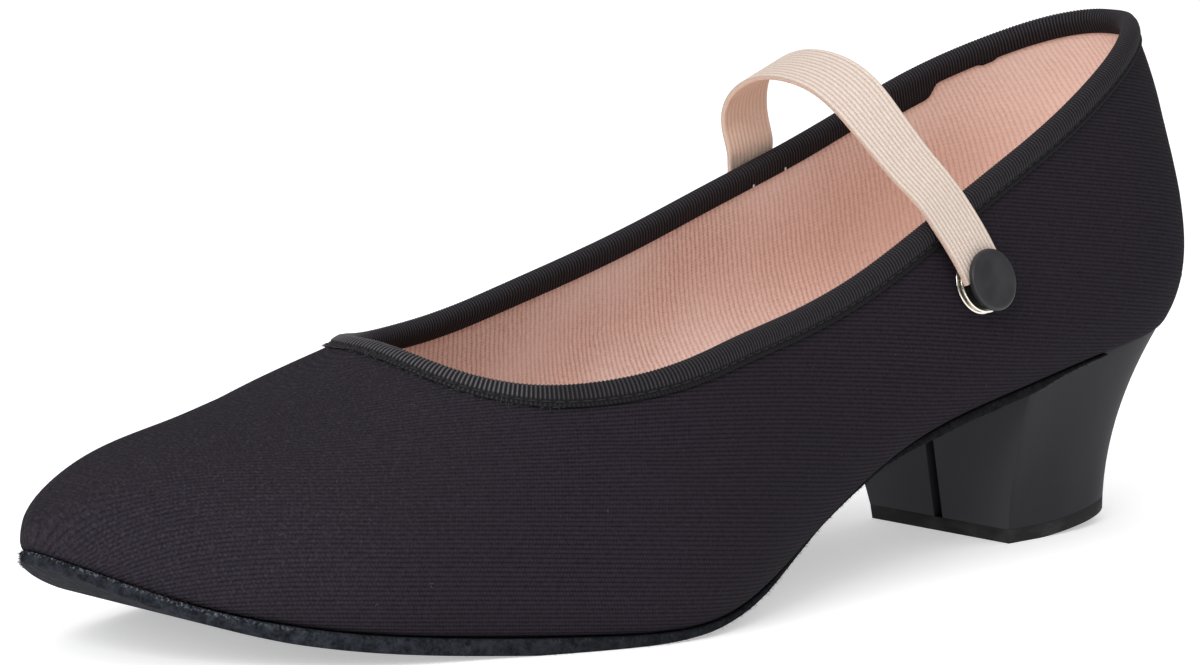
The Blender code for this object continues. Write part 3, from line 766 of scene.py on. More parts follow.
def to_frame(points):
    """Millimetres of the last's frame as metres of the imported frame."""
    return (np.asarray(points) - FRAME_ORIGIN) * MILLIMETRE


def link(name, data):
    """New object of the scene that shows a mesh, lamp or camera."""
    thing = bpy.data.objects.new(name, data)
    bpy.context.scene.collection.objects.link(thing)
    return thing


def settle(mesh, merge=False):
    """Turns all faces outward; merge first joins the points that coincide."""
    shell = bmesh.new()
    shell.from_mesh(mesh)
    if merge:
        bmesh.ops.remove_doubles(shell, verts=shell.verts, dist=MERGE * MILLIMETRE)
    bmesh.ops.recalc_face_normals(shell, faces=shell.faces)
    shell.to_mesh(mesh)
    shell.free()


def soften(mesh, sharp):
    """Shades a mesh smooth, except over edges that are sharper than an angle in degrees."""
    mesh.shade_smooth()
    mesh.set_sharp_from_angle(angle=math.radians(sharp))


def set_layers(mesh, layers):
    """Gives a mesh named values, one for each point."""
    for layer, values in layers.items():
        attribute = mesh.attributes.new(layer, "FLOAT", "POINT")
        attribute.data.foreach_set("value", np.ascontiguousarray(values, np.float32).ravel())


def add_piece(name, points, faces, material, slot, nodes=(), sharp=SHARP, layers=()):
    """Piece of the shoe from millimetre points, in place of the named nodes."""
    mesh = bpy.data.meshes.new(name)
    mesh.from_pydata(to_frame(points).tolist(), [], faces)
    settle(mesh)
    set_layers(mesh, dict(layers))
    soften(mesh, sharp)
    mesh.materials.append(material)
    piece = link(name, mesh)
    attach(piece, "root")
    if nodes:
        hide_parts(*nodes)
    return piece


def tube_faces(rings, corners, ends):
    """Quads between neighbouring loops of points; the ends are open, capped or joined to each other."""
    i = np.arange(rings if ends == "joined" else rings - 1)[:, None]
    k = np.arange(corners)[None, :]
    j = (i + 1) % rings
    n = (k + 1) % corners
    quads = (i * corners + k, j * corners + k, j * corners + n, i * corners + n)
    faces = np.stack(quads, -1).reshape(-1, 4).tolist()
    if ends == "capped":
        last = corners * (rings - 1)
        faces += [list(range(corners - 1, -1, -1)), list(range(last, last + corners))]
    return faces


def add_loops(name, loops, ends, *looks, **options):
    """Piece through neighbouring loops of millimetre points."""
    return add_piece(name, loops.reshape(-1, 3), tube_faces(*loops.shape[:2], ends), *looks, **options)


def add_tubes(name, paths, radii, guides, sides, material, slot):
    """Many thin closed tubes as one piece; each path is a row of middle points."""
    paths = np.asarray(paths, float)
    count, steps = paths.shape[:2]
    along = unit(np.gradient(paths, axis=1))
    across = unit(np.cross(along, np.asarray(guides)[:, None, :]))
    lift = np.cross(across, along)
    turns = 2 * math.pi * np.arange(sides) / sides
    spokes = across[:, :, None] * np.cos(turns)[:, None] + lift[:, :, None] * np.sin(turns)[:, None]
    points = paths[:, :, None] + spokes * np.asarray(radii)[None, :, None, None]
    one = tube_faces(steps, sides, "capped")
    faces = [[i * steps * sides + corner for corner in face] for i in range(count) for face in one]
    return add_piece(name, points.reshape(-1, 3), faces, material, slot)


def add_fibres(name, base, away, lengths, curl, root, radius, tip, material, slot):
    """Fine fibres that stand away from their base points and curl at the tip."""
    paths = np.stack([base - away * root, base + away * lengths / 2, base + away * lengths + curl], axis=1)
    paths[..., 2] = np.maximum(paths[..., 2], radius)
    radii = radius * np.array([1.0, FIBRE_MIDDLE, tip])
    return add_tubes(name, paths, radii, unit(np.cross(away, curl)), FIBRE_SIDES, material, slot)


class Surface:
    """Principled material whose nodes are added by short calls."""

    def __init__(self, name, colour, roughness, **sockets):
        self.material = bpy.data.materials.new(name)
        self.material.use_nodes = True
        self.tree = self.material.node_tree
        self.shader = self.tree.nodes["Principled BSDF"]
        self.shader.inputs["Base Color"].default_value = (*colour, 1.0)
        self.shader.inputs["Roughness"].default_value = roughness
        for socket, value in sockets.items():
            self.shader.inputs[socket.replace("_", " ")].default_value = value

    def node(self, kind, **inputs):
        node = self.tree.nodes.new(kind)
        for name, value in inputs.items():
            self.put(node.inputs[name], value)
        return node

    def put(self, socket, value):
        if isinstance(value, bpy.types.NodeSocket):
            self.tree.links.new(value, socket)
        else:
            socket.default_value = value

    def math(self, operation, first, second=0.0):
        node = self.tree.nodes.new("ShaderNodeMath")
        node.operation = operation
        self.put(node.inputs[0], first)
        self.put(node.inputs[1], second)
        return node.outputs[0]

    def layer(self, name):
        node = self.tree.nodes.new("ShaderNodeAttribute")
        node.attribute_name = name
        return node.outputs["Fac"]

    def coordinate(self, kind):
        """Object place or normal of a point of the surface."""
        return self.tree.nodes.new("ShaderNodeTexCoord").outputs[kind]

    def axis(self, kind, name):
        return self.node("ShaderNodeSeparateXYZ", Vector=self.coordinate(kind)).outputs[name]

    def noise(self, scale, detail=2.0, stretch=(1.0, 1.0, 1.0)):
        """Noise in the frame's metres; a stretch below 1 draws it out along that axis."""
        mapping = self.node("ShaderNodeMapping", Vector=self.coordinate("Object"), Scale=stretch)
        noise = self.node("ShaderNodeTexNoise", Vector=mapping.outputs[0], Scale=scale, Detail=detail)
        return noise.outputs["Fac"]

    def ridges(self, count, power):
        """Rounded ridges, one for each whole count: 0 in the grooves and 1 on the crests."""
        wave = self.math("ABSOLUTE", self.math("SINE", self.math("MULTIPLY", count, math.pi)))
        return self.math("POWER", wave, power)

    def total(self, *terms):
        """Sum of values, each with its own weight."""
        value = 0.0
        for term, weight in terms:
            value = self.math("ADD", self.math("MULTIPLY", term, weight), value)
        return value

    def blend(self, share, first, second):
        mix = self.tree.nodes.new("ShaderNodeMix")
        mix.data_type = "RGBA"
        self.put(mix.inputs["Factor"], share)
        for socket, colour in (("A", first), ("B", second)):
            value = colour if isinstance(colour, bpy.types.NodeSocket) else (*colour, 1.0)
            self.put([s for s in mix.inputs if s.name == socket and s.type == "RGBA"][0], value)
        return [s for s in mix.outputs if s.type == "RGBA"][0]

    def spread(self, value, low, high):
        """Value between low and high stretched to run from 0 to 1."""
        ends = {"From Min": low, "From Max": high}
        return self.node("ShaderNodeMapRange", Value=value, **ends).outputs[0]

    def finish(self, colour=None, height=None, roughness=None):
        """Links a colour, a height in millimetres and a roughness to the shader."""
        if colour is not None:
            self.put(self.shader.inputs["Base Color"], colour)
        if roughness is not None:
            self.put(self.shader.inputs["Roughness"], roughness)
        if height is not None:
            bump = self.node("ShaderNodeBump", Strength=1.0, Distance=MILLIMETRE, Height=height)
            self.put(self.shader.inputs["Normal"], bump.outputs[0])
        return self.material


def canvas():
    """Black ribbed cloth: rounded ribs of short threads, with a dusty bloom on the crests, and dust specks
    with painted light that brighten the toe and vamp.
    """
    look = Surface("canvas", (0.017, 0.014, 0.019), 0.95, Specular_IOR_Level=0.06)
    rib = look.layer("rib")
    show = look.layer("show")
    plain = look.math("SUBTRACT", 1.0, show)
    crest = look.total((look.math("MULTIPLY", look.ridges(rib, 0.8), show), 1.0), (plain, 0.6))
    offset = look.math("MULTIPLY", look.math("FLOOR", rib), 0.5)
    count = look.math("DIVIDE", look.layer("run"), CANVAS_THREAD)
    threads = look.ridges(look.math("ADD", count, offset), 0.8)
    fluff = look.spread(look.noise(1500.0, 3.0), 0.3, 0.7)
    cloud = look.noise(22.0, 2.0)
    height = look.total((crest, 0.13), (threads, 0.035), (fluff, 0.035))
    share = look.total((look.math("MULTIPLY", crest, threads), 0.45), (crest, 0.2), (fluff, 0.35))
    colour = look.blend(share, (0.0055, 0.0042, 0.0062), (0.030, 0.0245, 0.033))
    worn = look.blend(look.spread(cloud, 0.3, 0.75), colour, (0.019, 0.016, 0.021))
    # Dust specks and painted light: a speckled pale grey lift that grows towards the toe and up the vamp,
    # standing in for the light that falls there from the toe side
    speck = look.spread(look.noise(1900.0, 1.0), 0.5, 0.75)
    dust_and_toe_light = look.math("MULTIPLY", look.layer("dust_and_toe_light"), look.total((speck, 0.26), (1.0, 0.04)))
    return look.finish(look.blend(dust_and_toe_light, look.blend(0.3, colour, worn), (0.075, 0.070, 0.082)), height)


def lining_cloth():
    """Pink canvas of leaning ribs with dark dots in their grooves, brushed pale, and painted light that makes
    it paler and plainer towards the heel.
    """
    look = Surface("lining_cloth", (0.78, 0.50, 0.42), 0.95, Specular_IOR_Level=0.1)
    wander = look.math("MULTIPLY", look.noise(260.0, 2.0), 0.5)
    crest = look.ridges(look.math("ADD", look.layer("around"), wander), 0.7)
    threads = look.ridges(look.math("DIVIDE", look.layer("climb"), LINING_THREAD), 0.9)
    dots = look.math("MULTIPLY", look.math("SUBTRACT", 1.0, crest), look.total((threads, 0.6), (1.0, 0.4)))
    fluff = look.spread(look.noise(1300.0, 3.0), 0.3, 0.7)
    height = look.total((crest, 0.14), (threads, 0.03), (fluff, 0.06))
    share = look.total((look.math("SUBTRACT", 1.0, dots), 0.72), (fluff, 0.28))
    colour = look.blend(share, (0.46, 0.25, 0.20), (0.98, 0.765, 0.69))
    brushed = look.spread(look.noise(34.0, 2.0), 0.40, 0.66)
    brushed = look.blend(look.math("MULTIPLY", brushed, 0.5), colour, (0.98, 0.82, 0.765))
    # Painted light: the lining is lightened and warmed towards the heel, where the light falls on the back of
    # the lining
    heelward = look.math("SUBTRACT", 1.0, look.spread(look.layer("run"), 40.0, 120.0))
    return look.finish(look.blend(look.math("MULTIPLY", heelward, 0.5), brushed, (0.99, 0.73, 0.62)), height)


def insole_cloth():
    """Pale pink canvas over the insole, with a plain weave."""
    look = Surface("insole_cloth", (0.70, 0.43, 0.35), 0.9, Specular_IOR_Level=0.15, Sheen_Weight=0.05)
    counts = [look.math("MULTIPLY", look.axis("Object", name), INSOLE_THREADS) for name in "XY"]
    warp, weft = (look.ridges(count, 0.8) for count in counts)
    fluff = look.noise(1500.0, 3.0)
    share = look.total((warp, 0.35), (weft, 0.35), (fluff, 0.3))
    colour = look.blend(share, (0.55, 0.31, 0.24), (0.84, 0.60, 0.51))
    return look.finish(colour, look.total((warp, 0.10), (weft, 0.10), (fluff, 0.06)))


def grosgrain():
    """Black ribbed tape, with a painted grey highlight on its crests near the throat."""
    look = Surface("grosgrain", (0.014, 0.0125, 0.015), 0.7, Specular_IOR_Level=0.15)
    crest = look.math("POWER", look.layer("crest"), 2.6)
    fluff = look.spread(look.noise(3200.0, 3.0), 0.3, 0.7)
    share = look.math("MULTIPLY", crest, look.total((fluff, 0.5), (1.0, 0.6)))
    # Painted highlight: the layer named worn turns the crests grey near the throat, for the light that the
    # tape's threads reflect there
    bright = look.blend(look.layer("worn"), (0.064, 0.058, 0.066), (0.160, 0.153, 0.163))
    colour = look.blend(share, (0.0045, 0.004, 0.005), bright)
    return look.finish(colour, look.total((fluff, 0.03)))


def thread(name, colour):
    """Twisted sewing thread."""
    look = Surface(name, colour, 0.8, Specular_IOR_Level=0.2)
    fibre = look.noise(4000.0, 2.0)
    dark = tuple(part * 0.5 for part in colour)
    return look.finish(look.blend(look.spread(fibre, 0.3, 0.7), dark, colour), look.total((fibre, 0.06)))


def suede():
    """Dark blue-grey suede with a mottled nap, and pale flecks along its top edge at the toe; painted shade
    darkens it towards the waist and heel.
    """
    look = Surface("suede", (0.018, 0.021, 0.028), 0.95, Specular_IOR_Level=0.08)
    grain = look.noise(1900.0, 4.0)
    coarse = look.noise(520.0, 3.0)
    mottle = look.total((look.spread(grain, 0.3, 0.7), 0.45), (look.spread(coarse, 0.38, 0.62), 0.55))
    # Painted shade: the suede goes from blue-grey at the toe to a darker grey at the waist and heel, where
    # the sole lies in shade under the upper
    pale = look.blend(look.layer("front"), (0.013, 0.013, 0.014), (0.034, 0.039, 0.049))
    base = look.blend(mottle, (0.006, 0.0065, 0.009), pale)
    fleck = look.math("POWER", look.spread(grain, 0.5, 0.68), 1.5)
    share = look.math("MULTIPLY", look.layer("rim"), look.total((look.layer("toe"), 0.8), (1.0, 0.04)))
    colour = look.blend(look.math("MULTIPLY", fleck, share), base, (0.33, 0.37, 0.41))
    return look.finish(colour, look.total((grain, 0.2), (coarse, 0.22)))


def heel_plastic():
    """Black moulded plastic, satin, with faint flow marks, and a breast lightened by painted light."""
    look = Surface("heel_plastic", (0.022, 0.021, 0.024), 0.5, Specular_IOR_Level=0.025)
    flow = look.noise(60.0, 3.0, (1.0, 1.0, 0.25))
    grain = look.noise(2200.0, 2.0)
    colour = look.blend(look.spread(flow, 0.3, 0.7), (0.0265, 0.0257, 0.0295), (0.0335, 0.0325, 0.0365))
    # Painted light: faces turned towards the toe, the breast most, are lightened, standing in for the light
    # that reaches the breast from the front and the floor
    colour = look.blend(look.spread(look.axis("Normal", "X"), 0.6, 0.9), colour, (0.049, 0.0475, 0.053))
    rough = look.math("ADD", look.math("MULTIPLY", flow, 0.12), 0.42)
    return look.finish(colour, look.total((grain, 0.006), (flow, 0.02)), rough)


def rubber():
    """Black lift rubber, dull and lightly scuffed."""
    look = Surface("rubber", (0.018, 0.018, 0.020), 0.75, Specular_IOR_Level=0.2)
    grain = look.noise(1500.0, 3.0)
    scuff = look.noise(130.0, 4.0, (1.0, 1.0, 3.0))
    colour = look.blend(look.spread(scuff, 0.45, 0.75), (0.012, 0.012, 0.013), (0.036, 0.036, 0.039))
    return look.finish(colour, look.total((grain, 0.03), (scuff, 0.04)))


def elastic():
    """Cream elastic: smooth cords along it, with a fine cross weave, and painted pink light on its inner
    face.
    """
    look = Surface("elastic", (0.74, 0.63, 0.56), 0.85, Specular_IOR_Level=0.15)
    weave = look.ridges(look.math("DIVIDE", look.layer("run"), ELASTIC_THREAD), 0.9)
    crest = look.layer("crest")
    fluff = look.spread(look.noise(2200.0, 2.0), 0.3, 0.7)
    share = look.total((crest, 0.62), (weave, 0.13), (fluff, 0.25))
    outside = look.blend(share, (0.43, 0.31, 0.25), (0.78, 0.675, 0.60))
    # Painted light: the inner face is pinker and brighter, for the light that the pink lining throws back
    # onto it and that shines through the thin elastic
    inside = look.blend(share, (0.80, 0.54, 0.42), (0.98, 0.80, 0.67))
    colour = look.blend(look.layer("inside"), outside, inside)
    return look.finish(colour, look.total((weave, 0.035), (fluff, 0.04)))


def nickel():
    """Bright nickel with fine turning marks."""
    look = Surface("nickel", (0.80, 0.76, 0.69), 0.16, Metallic=1.0)
    mark = look.noise(900.0, 2.0)
    rough = look.math("ADD", look.math("MULTIPLY", mark, 0.16), 0.08)
    return look.finish(None, look.total((mark, 0.01)), rough)


def cap_plastic():
    """Black satin cap, lightly rubbed."""
    look = Surface("cap_plastic", (0.018, 0.018, 0.020), 0.42, Specular_IOR_Level=0.34)
    rub = look.noise(240.0, 4.0)
    grain = look.noise(3000.0, 2.0)
    rough = look.math("ADD", look.math("MULTIPLY", rub, 0.18), 0.34)
    colour = look.blend(look.spread(rub, 0.35, 0.7), (0.018, 0.018, 0.020), (0.030, 0.030, 0.033))
    return look.finish(colour, look.total((grain, 0.008)), rough)


def wall_grid():
    """Points, normals, sides and surface values of the wall's outer face."""
    foot = np.linspace(0, FOOT_SHARE, FOOT_ROWS)
    rows = np.concatenate([foot, np.linspace(FOOT_SHARE, 1, WALL_ROWS)[1:]])
    turns, angles, sides = ring(rows[None, :], WALL_COLUMNS)
    points = wall_point(turns, angles, sides)
    normals = wall_normal(turns, angles, sides)
    normals[:, 0, 2] = 0
    way = on_sides(sides, Climb.way, turns, angles)
    climbed = way / (way + on_sides(sides, Climb.from_ridge, turns, angles))
    station = points[..., 0] / LENGTH
    fade = smooth(climbed, *RIB_FADE_SHARES) * smooth(station, *RIB_FADE_STATIONS)
    layers = {
        "rib": on_sides(sides, Climb.rib, turns, angles),
        "climb": way,
        "around": on_sides(sides, Climb.around, turns, points[..., 2]),
        "show": 1 - RIB_FADE * fade,
        # Mask of the toe's dust specks and painted light
        "dust_and_toe_light": smooth(station + DUST_AND_LIGHT_CLIMB * climbed, *DUST_AND_LIGHT_STATIONS),
    }
    return points, unit(normals), sides, layers


def add_upper():
    """Canvas wall and its lining, from the feather line, where the canvas turns in, up to the collar."""
    points, normals, sides, values = wall_grid()
    tuck = TUCK_DEPTH * np.clip(1 - values["climb"] / TUCK_HEIGHT, 0, 1) ** 2
    outside = points + normals * (creased(points, sides) - tuck)[..., None]
    inside = points - normals * WALL
    shells = (
        ("upper_cloth", outside, outside - normals * CLOTH, canvas(), "canvas", ("upper",), 0.0),
        ("lining", points - normals * LINING_START, inside, lining_cloth(), "insole_cloth", (), LINING_LIFT),
    )
    for name, outer, inner, material, slot, nodes, lift in shells:
        inner[:, 0] = inside[:, 0]
        for face in (outer, inner):
            face[:, 0, 2] = feather_height(face[:, 0, 0]) + GAP / 2 + lift
        loops = np.concatenate([outer, inner[:, ::-1]], axis=1)
        layers = {layer: np.concatenate([value, value[:, ::-1]], axis=1) for layer, value in values.items()}
        layers["run"] = loops[..., 0]
        add_loops(name, loops, "joined", material, slot, nodes, layers=layers)


def tape_dip(points, sides):
    """How much further the tape's inner leg hangs down."""
    dip = np.zeros(len(points))
    for station, toeward, heelward, depth in DIPS.rows:
        away = points[:, 0] - station * LENGTH
        dip += depth * np.exp(-(away / np.where(away > 0, toeward, heelward)) ** DIP_POWER)
    return np.where(sides < 0, dip, 0)


def tape_loops(band):
    """Points once around the tape for each column, and how near each of them is to a rib's crest."""
    wave = np.cos(2 * math.pi * np.arange(len(band.sides)) / TAPE_STEPS)
    top, top_normal = band.at(0.0)
    foot, _ = band.at(TAPE_WIDTH)
    up = unit(top - foot)
    dip = tape_dip(top, band.sides)
    loops = []
    crests = []

    def put(point, normal, rib):
        loops.append(point + normal * (wave * rib * TAPE_RIB_DEPTH)[:, None])
        crests.append((wave + 1) / 2 * rib)

    for below, out, rib in TAPE_OUTER.rows:
        point, normal = band.at(below)
        put(point + normal * out, normal, rib)
    for step in range(1, TAPE_ROLL_STEPS):
        turn = math.pi * step / TAPE_ROLL_STEPS
        spoke = top_normal * math.cos(turn) + up * math.sin(turn)
        put(top - top_normal * WALL / 2 + spoke * (WALL / 2 + TAPE_OVER), spoke, 1.0)
    for below, out, rib in TAPE_INNER.rows:
        point, normal = band.at(below + dip * below / TAPE_INNER_WIDTH)
        put(point - normal * (WALL + out), -normal, rib)
    for inward, lift in ((WALL + GAP / 2, 0.0), (WALL / 2, GAP / 2), (-GAP / 2, 0.0)):
        put(top - top_normal * inward + up * lift, top_normal, 0.0)
    return np.stack(loops, axis=1), np.stack(crests, axis=1)


def add_tape():
    """Ribbed tape folded over the collar edge, with its seam, thread ends and frayed edge."""
    edge = sum(lengths_along(wall_point(*collar_line(side, FINE), side))[-1] for side in (1, -1))
    columns = int(edge / TAPE_RIB_PITCH) * TAPE_STEPS // 2
    columns -= columns % TAPE_STEPS
    band = CollarBand(columns)
    loops, crests = tape_loops(band)
    top, _ = band.at(0.0)
    # Mask of the painted highlight on the tape's crests near the throat, kept in the layer named worn
    worn = np.repeat(smooth(top[:, :1] / LENGTH, *TAPE_HIGHLIGHT_STATIONS), loops.shape[1], axis=1)
    add_loops("binding_tape", loops, "joined", grosgrain(), "grosgrain", ("collar_binding",),
              sharp=TAPE_SHARP, layers={"crest": crests, "worn": worn})
    add_seam(band)
    add_tacks(band)
    add_fray(band)


def add_seam(band):
    """Row of stitches in the groove along the tape's outer leg."""
    line, normals = band.at(SEAM_BELOW)
    line = line + normals * SEAM_OUT
    lengths = lengths_along(line)
    starts = np.arange(0, lengths[-1] - STITCH_PITCH, STITCH_PITCH)
    places = starts[:, None] + STITCH_LENGTH * np.linspace(0, 1, len(THREAD_TAPER))
    guides = unit(line_at(places[:, len(THREAD_TAPER) // 2], lengths, normals))
    paths = line_at(places, lengths, line) + guides[:, None] * np.array(STITCH_BOW)[:, None]
    material = thread("black_thread", (0.030, 0.029, 0.032))
    add_tubes("binding_stitches", paths, STITCH_RADIUS * THREAD_TAPER, guides, THREAD_SIDES,
              material, "grosgrain")


def add_tacks(band):
    """Two pale ends of the strap's sewing thread, on the tape inside the inner wall."""
    line, normals = band.at(TACK_BELOW)
    inner = np.flatnonzero(band.sides < 0)
    order = inner[np.argsort(line[inner, 0])]
    stations = line[order, 0] / LENGTH
    spots, out = (line_at(TACK_STATIONS, stations, values[order]) for values in (line, normals))
    ways = unit(np.cross(out, (1.0, 0.0, 0.0)))
    ends = TACK_LENGTH * np.linspace(-0.5, 0.5, len(THREAD_TAPER))
    paths = spots[:, None] - out[:, None] * (WALL + TACK_OUT) + ways[:, None] * ends[:, None]
    material = thread("pale_thread", (0.80, 0.74, 0.68))
    add_tubes("strap_tacks", paths, TACK_RADIUS * THREAD_TAPER, out, THREAD_SIDES, material, "elastic")


def add_fray(band):
    """Fine fibres that stand off the tape's lower outer edge near the throat."""
    line, normals = band.at(TAPE_WIDTH)
    above, _ = band.at(TAPE_WIDTH - 1)
    pick = chance.choice(np.flatnonzero(line[:, 0] > FRAY_STATION * LENGTH), FRAY_COUNT)
    away = unit(unit(line[pick] - above[pick]) + normals[pick] * chance.uniform(*FRAY_OUT, (FRAY_COUNT, 1))
                + chance.normal(0, FRAY_SPREAD, (FRAY_COUNT, 3)))
    lengths = FRAY_LENGTH * chance.uniform(FRAY_SHORTEST, 1.0, (FRAY_COUNT, 1)) ** FRAY_SHORTNESS
    curl = chance.normal(0, FRAY_CURL, (FRAY_COUNT, 3)) * lengths
    base = line[pick] + normals[pick] * FRAY_ROOT
    material = thread("tape_fibre", (0.13, 0.13, 0.135))
    add_fibres("tape_fray", base, away, lengths, curl, 0.0, FRAY_RADIUS, FRAY_TIP, material, "grosgrain")


def sole_layers(x):
    """How much the sole is flecked, at the toe, and how far its suede is out of a painted shade, from dark
    grey at the waist and heel to blue-grey at the toe.
    """
    return smooth(x / LENGTH, *SOLE_FLECK_STATIONS), smooth(x / LENGTH, *SOLE_SHADE_STATIONS)


def sole_halves(turns, edge, profile, height):
    """Edge faces of a sole on its outer and inner side; profile lists ways in from the edge and levels."""
    halves = []
    for side in (1, -1):
        lines = []
        for inward, level in profile:
            line = feather_edge(turns, side, edge - inward)
            line[:, 2] = height(line[:, 0], level)
            lines.append(line)
        halves.append(np.stack(lines, axis=1))
    left, right = halves
    right[-1] = left[-1]
    return left, right


def sole_loops(left, right):
    """Loops of points around both edge faces of a sole and straight across between them."""
    spans = np.linspace(0, 1, SOLE_ACROSS + 1)[1:-1, None]
    there = between(left[:, -1:], right[:, -1:], spans)
    back = between(right[:, :1], left[:, :1], spans)
    return np.concatenate([left, there, right[:, ::-1], back], axis=1)


def add_outsole():
    """Suede sole with a softly rounded edge, and the nap that stands off it."""
    turns = np.linspace(turn_of(SOLE_START), math.pi, SOLE_ROWS)

    def height(x, up):
        return np.maximum(feather_height(x) - GAP / 2 - sole_depth(x / LENGTH) * (1 - up), 0)

    left, right = sole_halves(turns, SOLE.at(station_of(turns), "edge"), SOLE_EDGE.rows, height)
    loops = sole_loops(left, right)
    count = len(SOLE_EDGE.rows)
    other = slice(count + SOLE_ACROSS - 1, 2 * count + SOLE_ACROSS - 1)
    rim, face = np.zeros((2, *loops.shape[:2]))
    for layer, levels in ((rim, SOLE_RIM_LEVELS), (face, SOLE_FACE_LEVELS)):
        values = smooth(SOLE_EDGE["up"], *levels)
        layer[:, :count] = values
        layer[:, other] = values[::-1]
    toe, front = sole_layers(loops[..., 0])
    # The front layer carries the painted shade towards the waist and heel; SOLE_UNDER makes the sole a little
    # darker on its underside
    layers = {"toe": toe, "front": front * (SOLE_UNDER + (1 - SOLE_UNDER) * face), "rim": rim}
    material = suede()
    piece = add_loops("sole_suede", loops, "capped", material, "suede", ("outsole",),
                      sharp=SOLE_SHARP, layers=layers)
    settle(piece.data, merge=True)
    add_nap(left, right, material)


def add_nap(left, right, material):
    """Short fibres that stand off the sole's cut edge."""
    rows = chance.integers(2, SOLE_ROWS - 1, NAP_COUNT)
    share = chance.random(NAP_COUNT)
    outer = chance.random(NAP_COUNT) < NAP_OUTER_SHARE
    edges, nexts = (np.where(outer[:, None, None], left[row], right[row]) for row in (rows, rows - 1))
    # From the second row of the edge's profile to the last but one
    place = 1 + share * (len(SOLE_EDGE.rows) - 3)
    k = place.astype(int)
    pick = np.arange(NAP_COUNT)
    base = between(edges[pick, k], edges[pick, k + 1], (place - k)[:, None])
    base += (nexts[pick, k] - edges[pick, k]) * chance.random((NAP_COUNT, 1))
    opposite = np.where(outer[:, None], right[rows][:, NAP_EDGE_ROW], left[rows][:, NAP_EDGE_ROW])
    to_toe = smooth(base[:, :1] / LENGTH, *NAP_TOE_STATIONS) * NAP_TOE_TURN
    away = unit(edges[pick, NAP_EDGE_ROW] - opposite + np.array([1.0, 0.0, 0.0]) * to_toe)
    away = unit(away + chance.normal(0, NAP_SPREAD, (NAP_COUNT, 3)))
    lengths = NAP_LENGTH * chance.uniform(NAP_SHORTEST, 1.0, (NAP_COUNT, 1))
    curl = chance.normal(0, NAP_CURL, (NAP_COUNT, 3)) * lengths
    piece = add_fibres("sole_nap", base, away, lengths, curl, NAP_ROOT, NAP_RADIUS, NAP_TIP,
                       material, "suede")
    points = len(piece.data.vertices)
    # The nap takes the same painted shade towards the waist and heel
    toe, front = sole_layers(np.repeat(base[:, 0], points // NAP_COUNT))
    set_layers(piece.data, {"toe": toe, "front": front, "rim": np.full(points, NAP_RIM)})


def add_insole():
    """Cloth-covered insole with a rounded upper edge."""
    turns = np.linspace(0, math.pi, SOLE_ROWS)
    clearance = np.interp(station_of(turns), INSOLE_CLEARANCE_STATIONS, INSOLE_CLEARANCES)
    profile = (
        (INSOLE_EDGE, 0.0),
        (0.0, INSOLE_EDGE),
        (0.0, INSOLE_THICKNESS - INSOLE_EDGE),
        (INSOLE_EDGE / 3, INSOLE_THICKNESS - INSOLE_EDGE / 3),
        (INSOLE_EDGE, INSOLE_THICKNESS),
    )

    def height(x, up):
        return feather_height(x) + GAP / 2 + up

    left, right = sole_halves(turns, -(WALL + clearance), profile, height)
    right[0] = left[0]
    loops = sole_loops(left, right)
    piece = add_loops("insole_cover", loops, "open", insole_cloth(), "insole_cloth", ("insole",))
    settle(piece.data, merge=True)


def heel_outline(share, runs):
    """Half outline of the heel in plan at a share of its depth, from the back to the breast corner."""
    back = between(HEEL_BACK_TOP, HEEL_BACK_FOOT, 1 - (1 - share) ** HEEL_BACK_POWER)
    breast = between(BREAST_TOP, BREAST_FOOT, share)
    half = between(HEEL_HALF_TOP, HEEL_HALF_FOOT, 1 - (1 - share) ** HEEL_SIDE_POWER)
    end = between(HEEL_END_TOP, HEEL_END_FOOT, share)
    x = between(back, breast, runs)
    y = half * (1 - HEEL_TAPER * (1 - runs)) * (1 - (1 - runs) ** end) ** (1 / HEEL_ROUND)
    return x, y


def heel_rise(runs):
    """Height of the heel's foot over the floor: flat in front, and rolled up towards the back."""
    return HEEL_RISE * np.clip(1 - runs / HEEL_RISE_START, 0, None) ** HEEL_RISE_POWER


def sole_step():
    """Distance from the heel back to the step in the heel's top, just behind the outsole's end."""
    return BACK_TUCK + SOLE_START * (LENGTH - BACK_TUCK) - 2 * GAP


def heel_seat(x):
    """Top of the heel: under the upper, and lower where the outsole runs in over the breast."""
    seat = feather_height(x) - GAP / 2
    return np.where(x > sole_step(), seat - sole_depth(x / LENGTH) - GAP, seat)


def heel_shoulder(x):
    """Smooth height near the heel's top that its sides hang from, so that the step stays in the top."""
    ramp = np.clip((x - HEEL_BACK_TOP) / (BREAST_TOP - HEEL_BACK_TOP), 0, 1) ** 2
    return feather_height(x) - GAP / 2 - (sole_depth(x / LENGTH) + GAP) * ramp


def stacked(levels):
    """Points and faces of a body between half outlines mirrored about the middle, listed downward."""
    loops = []
    for x, y, z in levels:
        half = np.stack([x, y, z], -1)
        other = half[::-1].copy()
        other[:, 1] *= -1
        loops.append(np.concatenate([half, other]))
    loops = np.stack(loops)
    corners = loops.shape[1]
    faces = tube_faces(len(loops), corners, "open")
    for first in (0, (len(loops) - 1) * corners):
        for k in range(corners // 2 - 1):
            faces.append([first + k, first + k + 1, first + corners - 2 - k, first + corners - 1 - k])
    return loops.reshape(-1, 3), faces


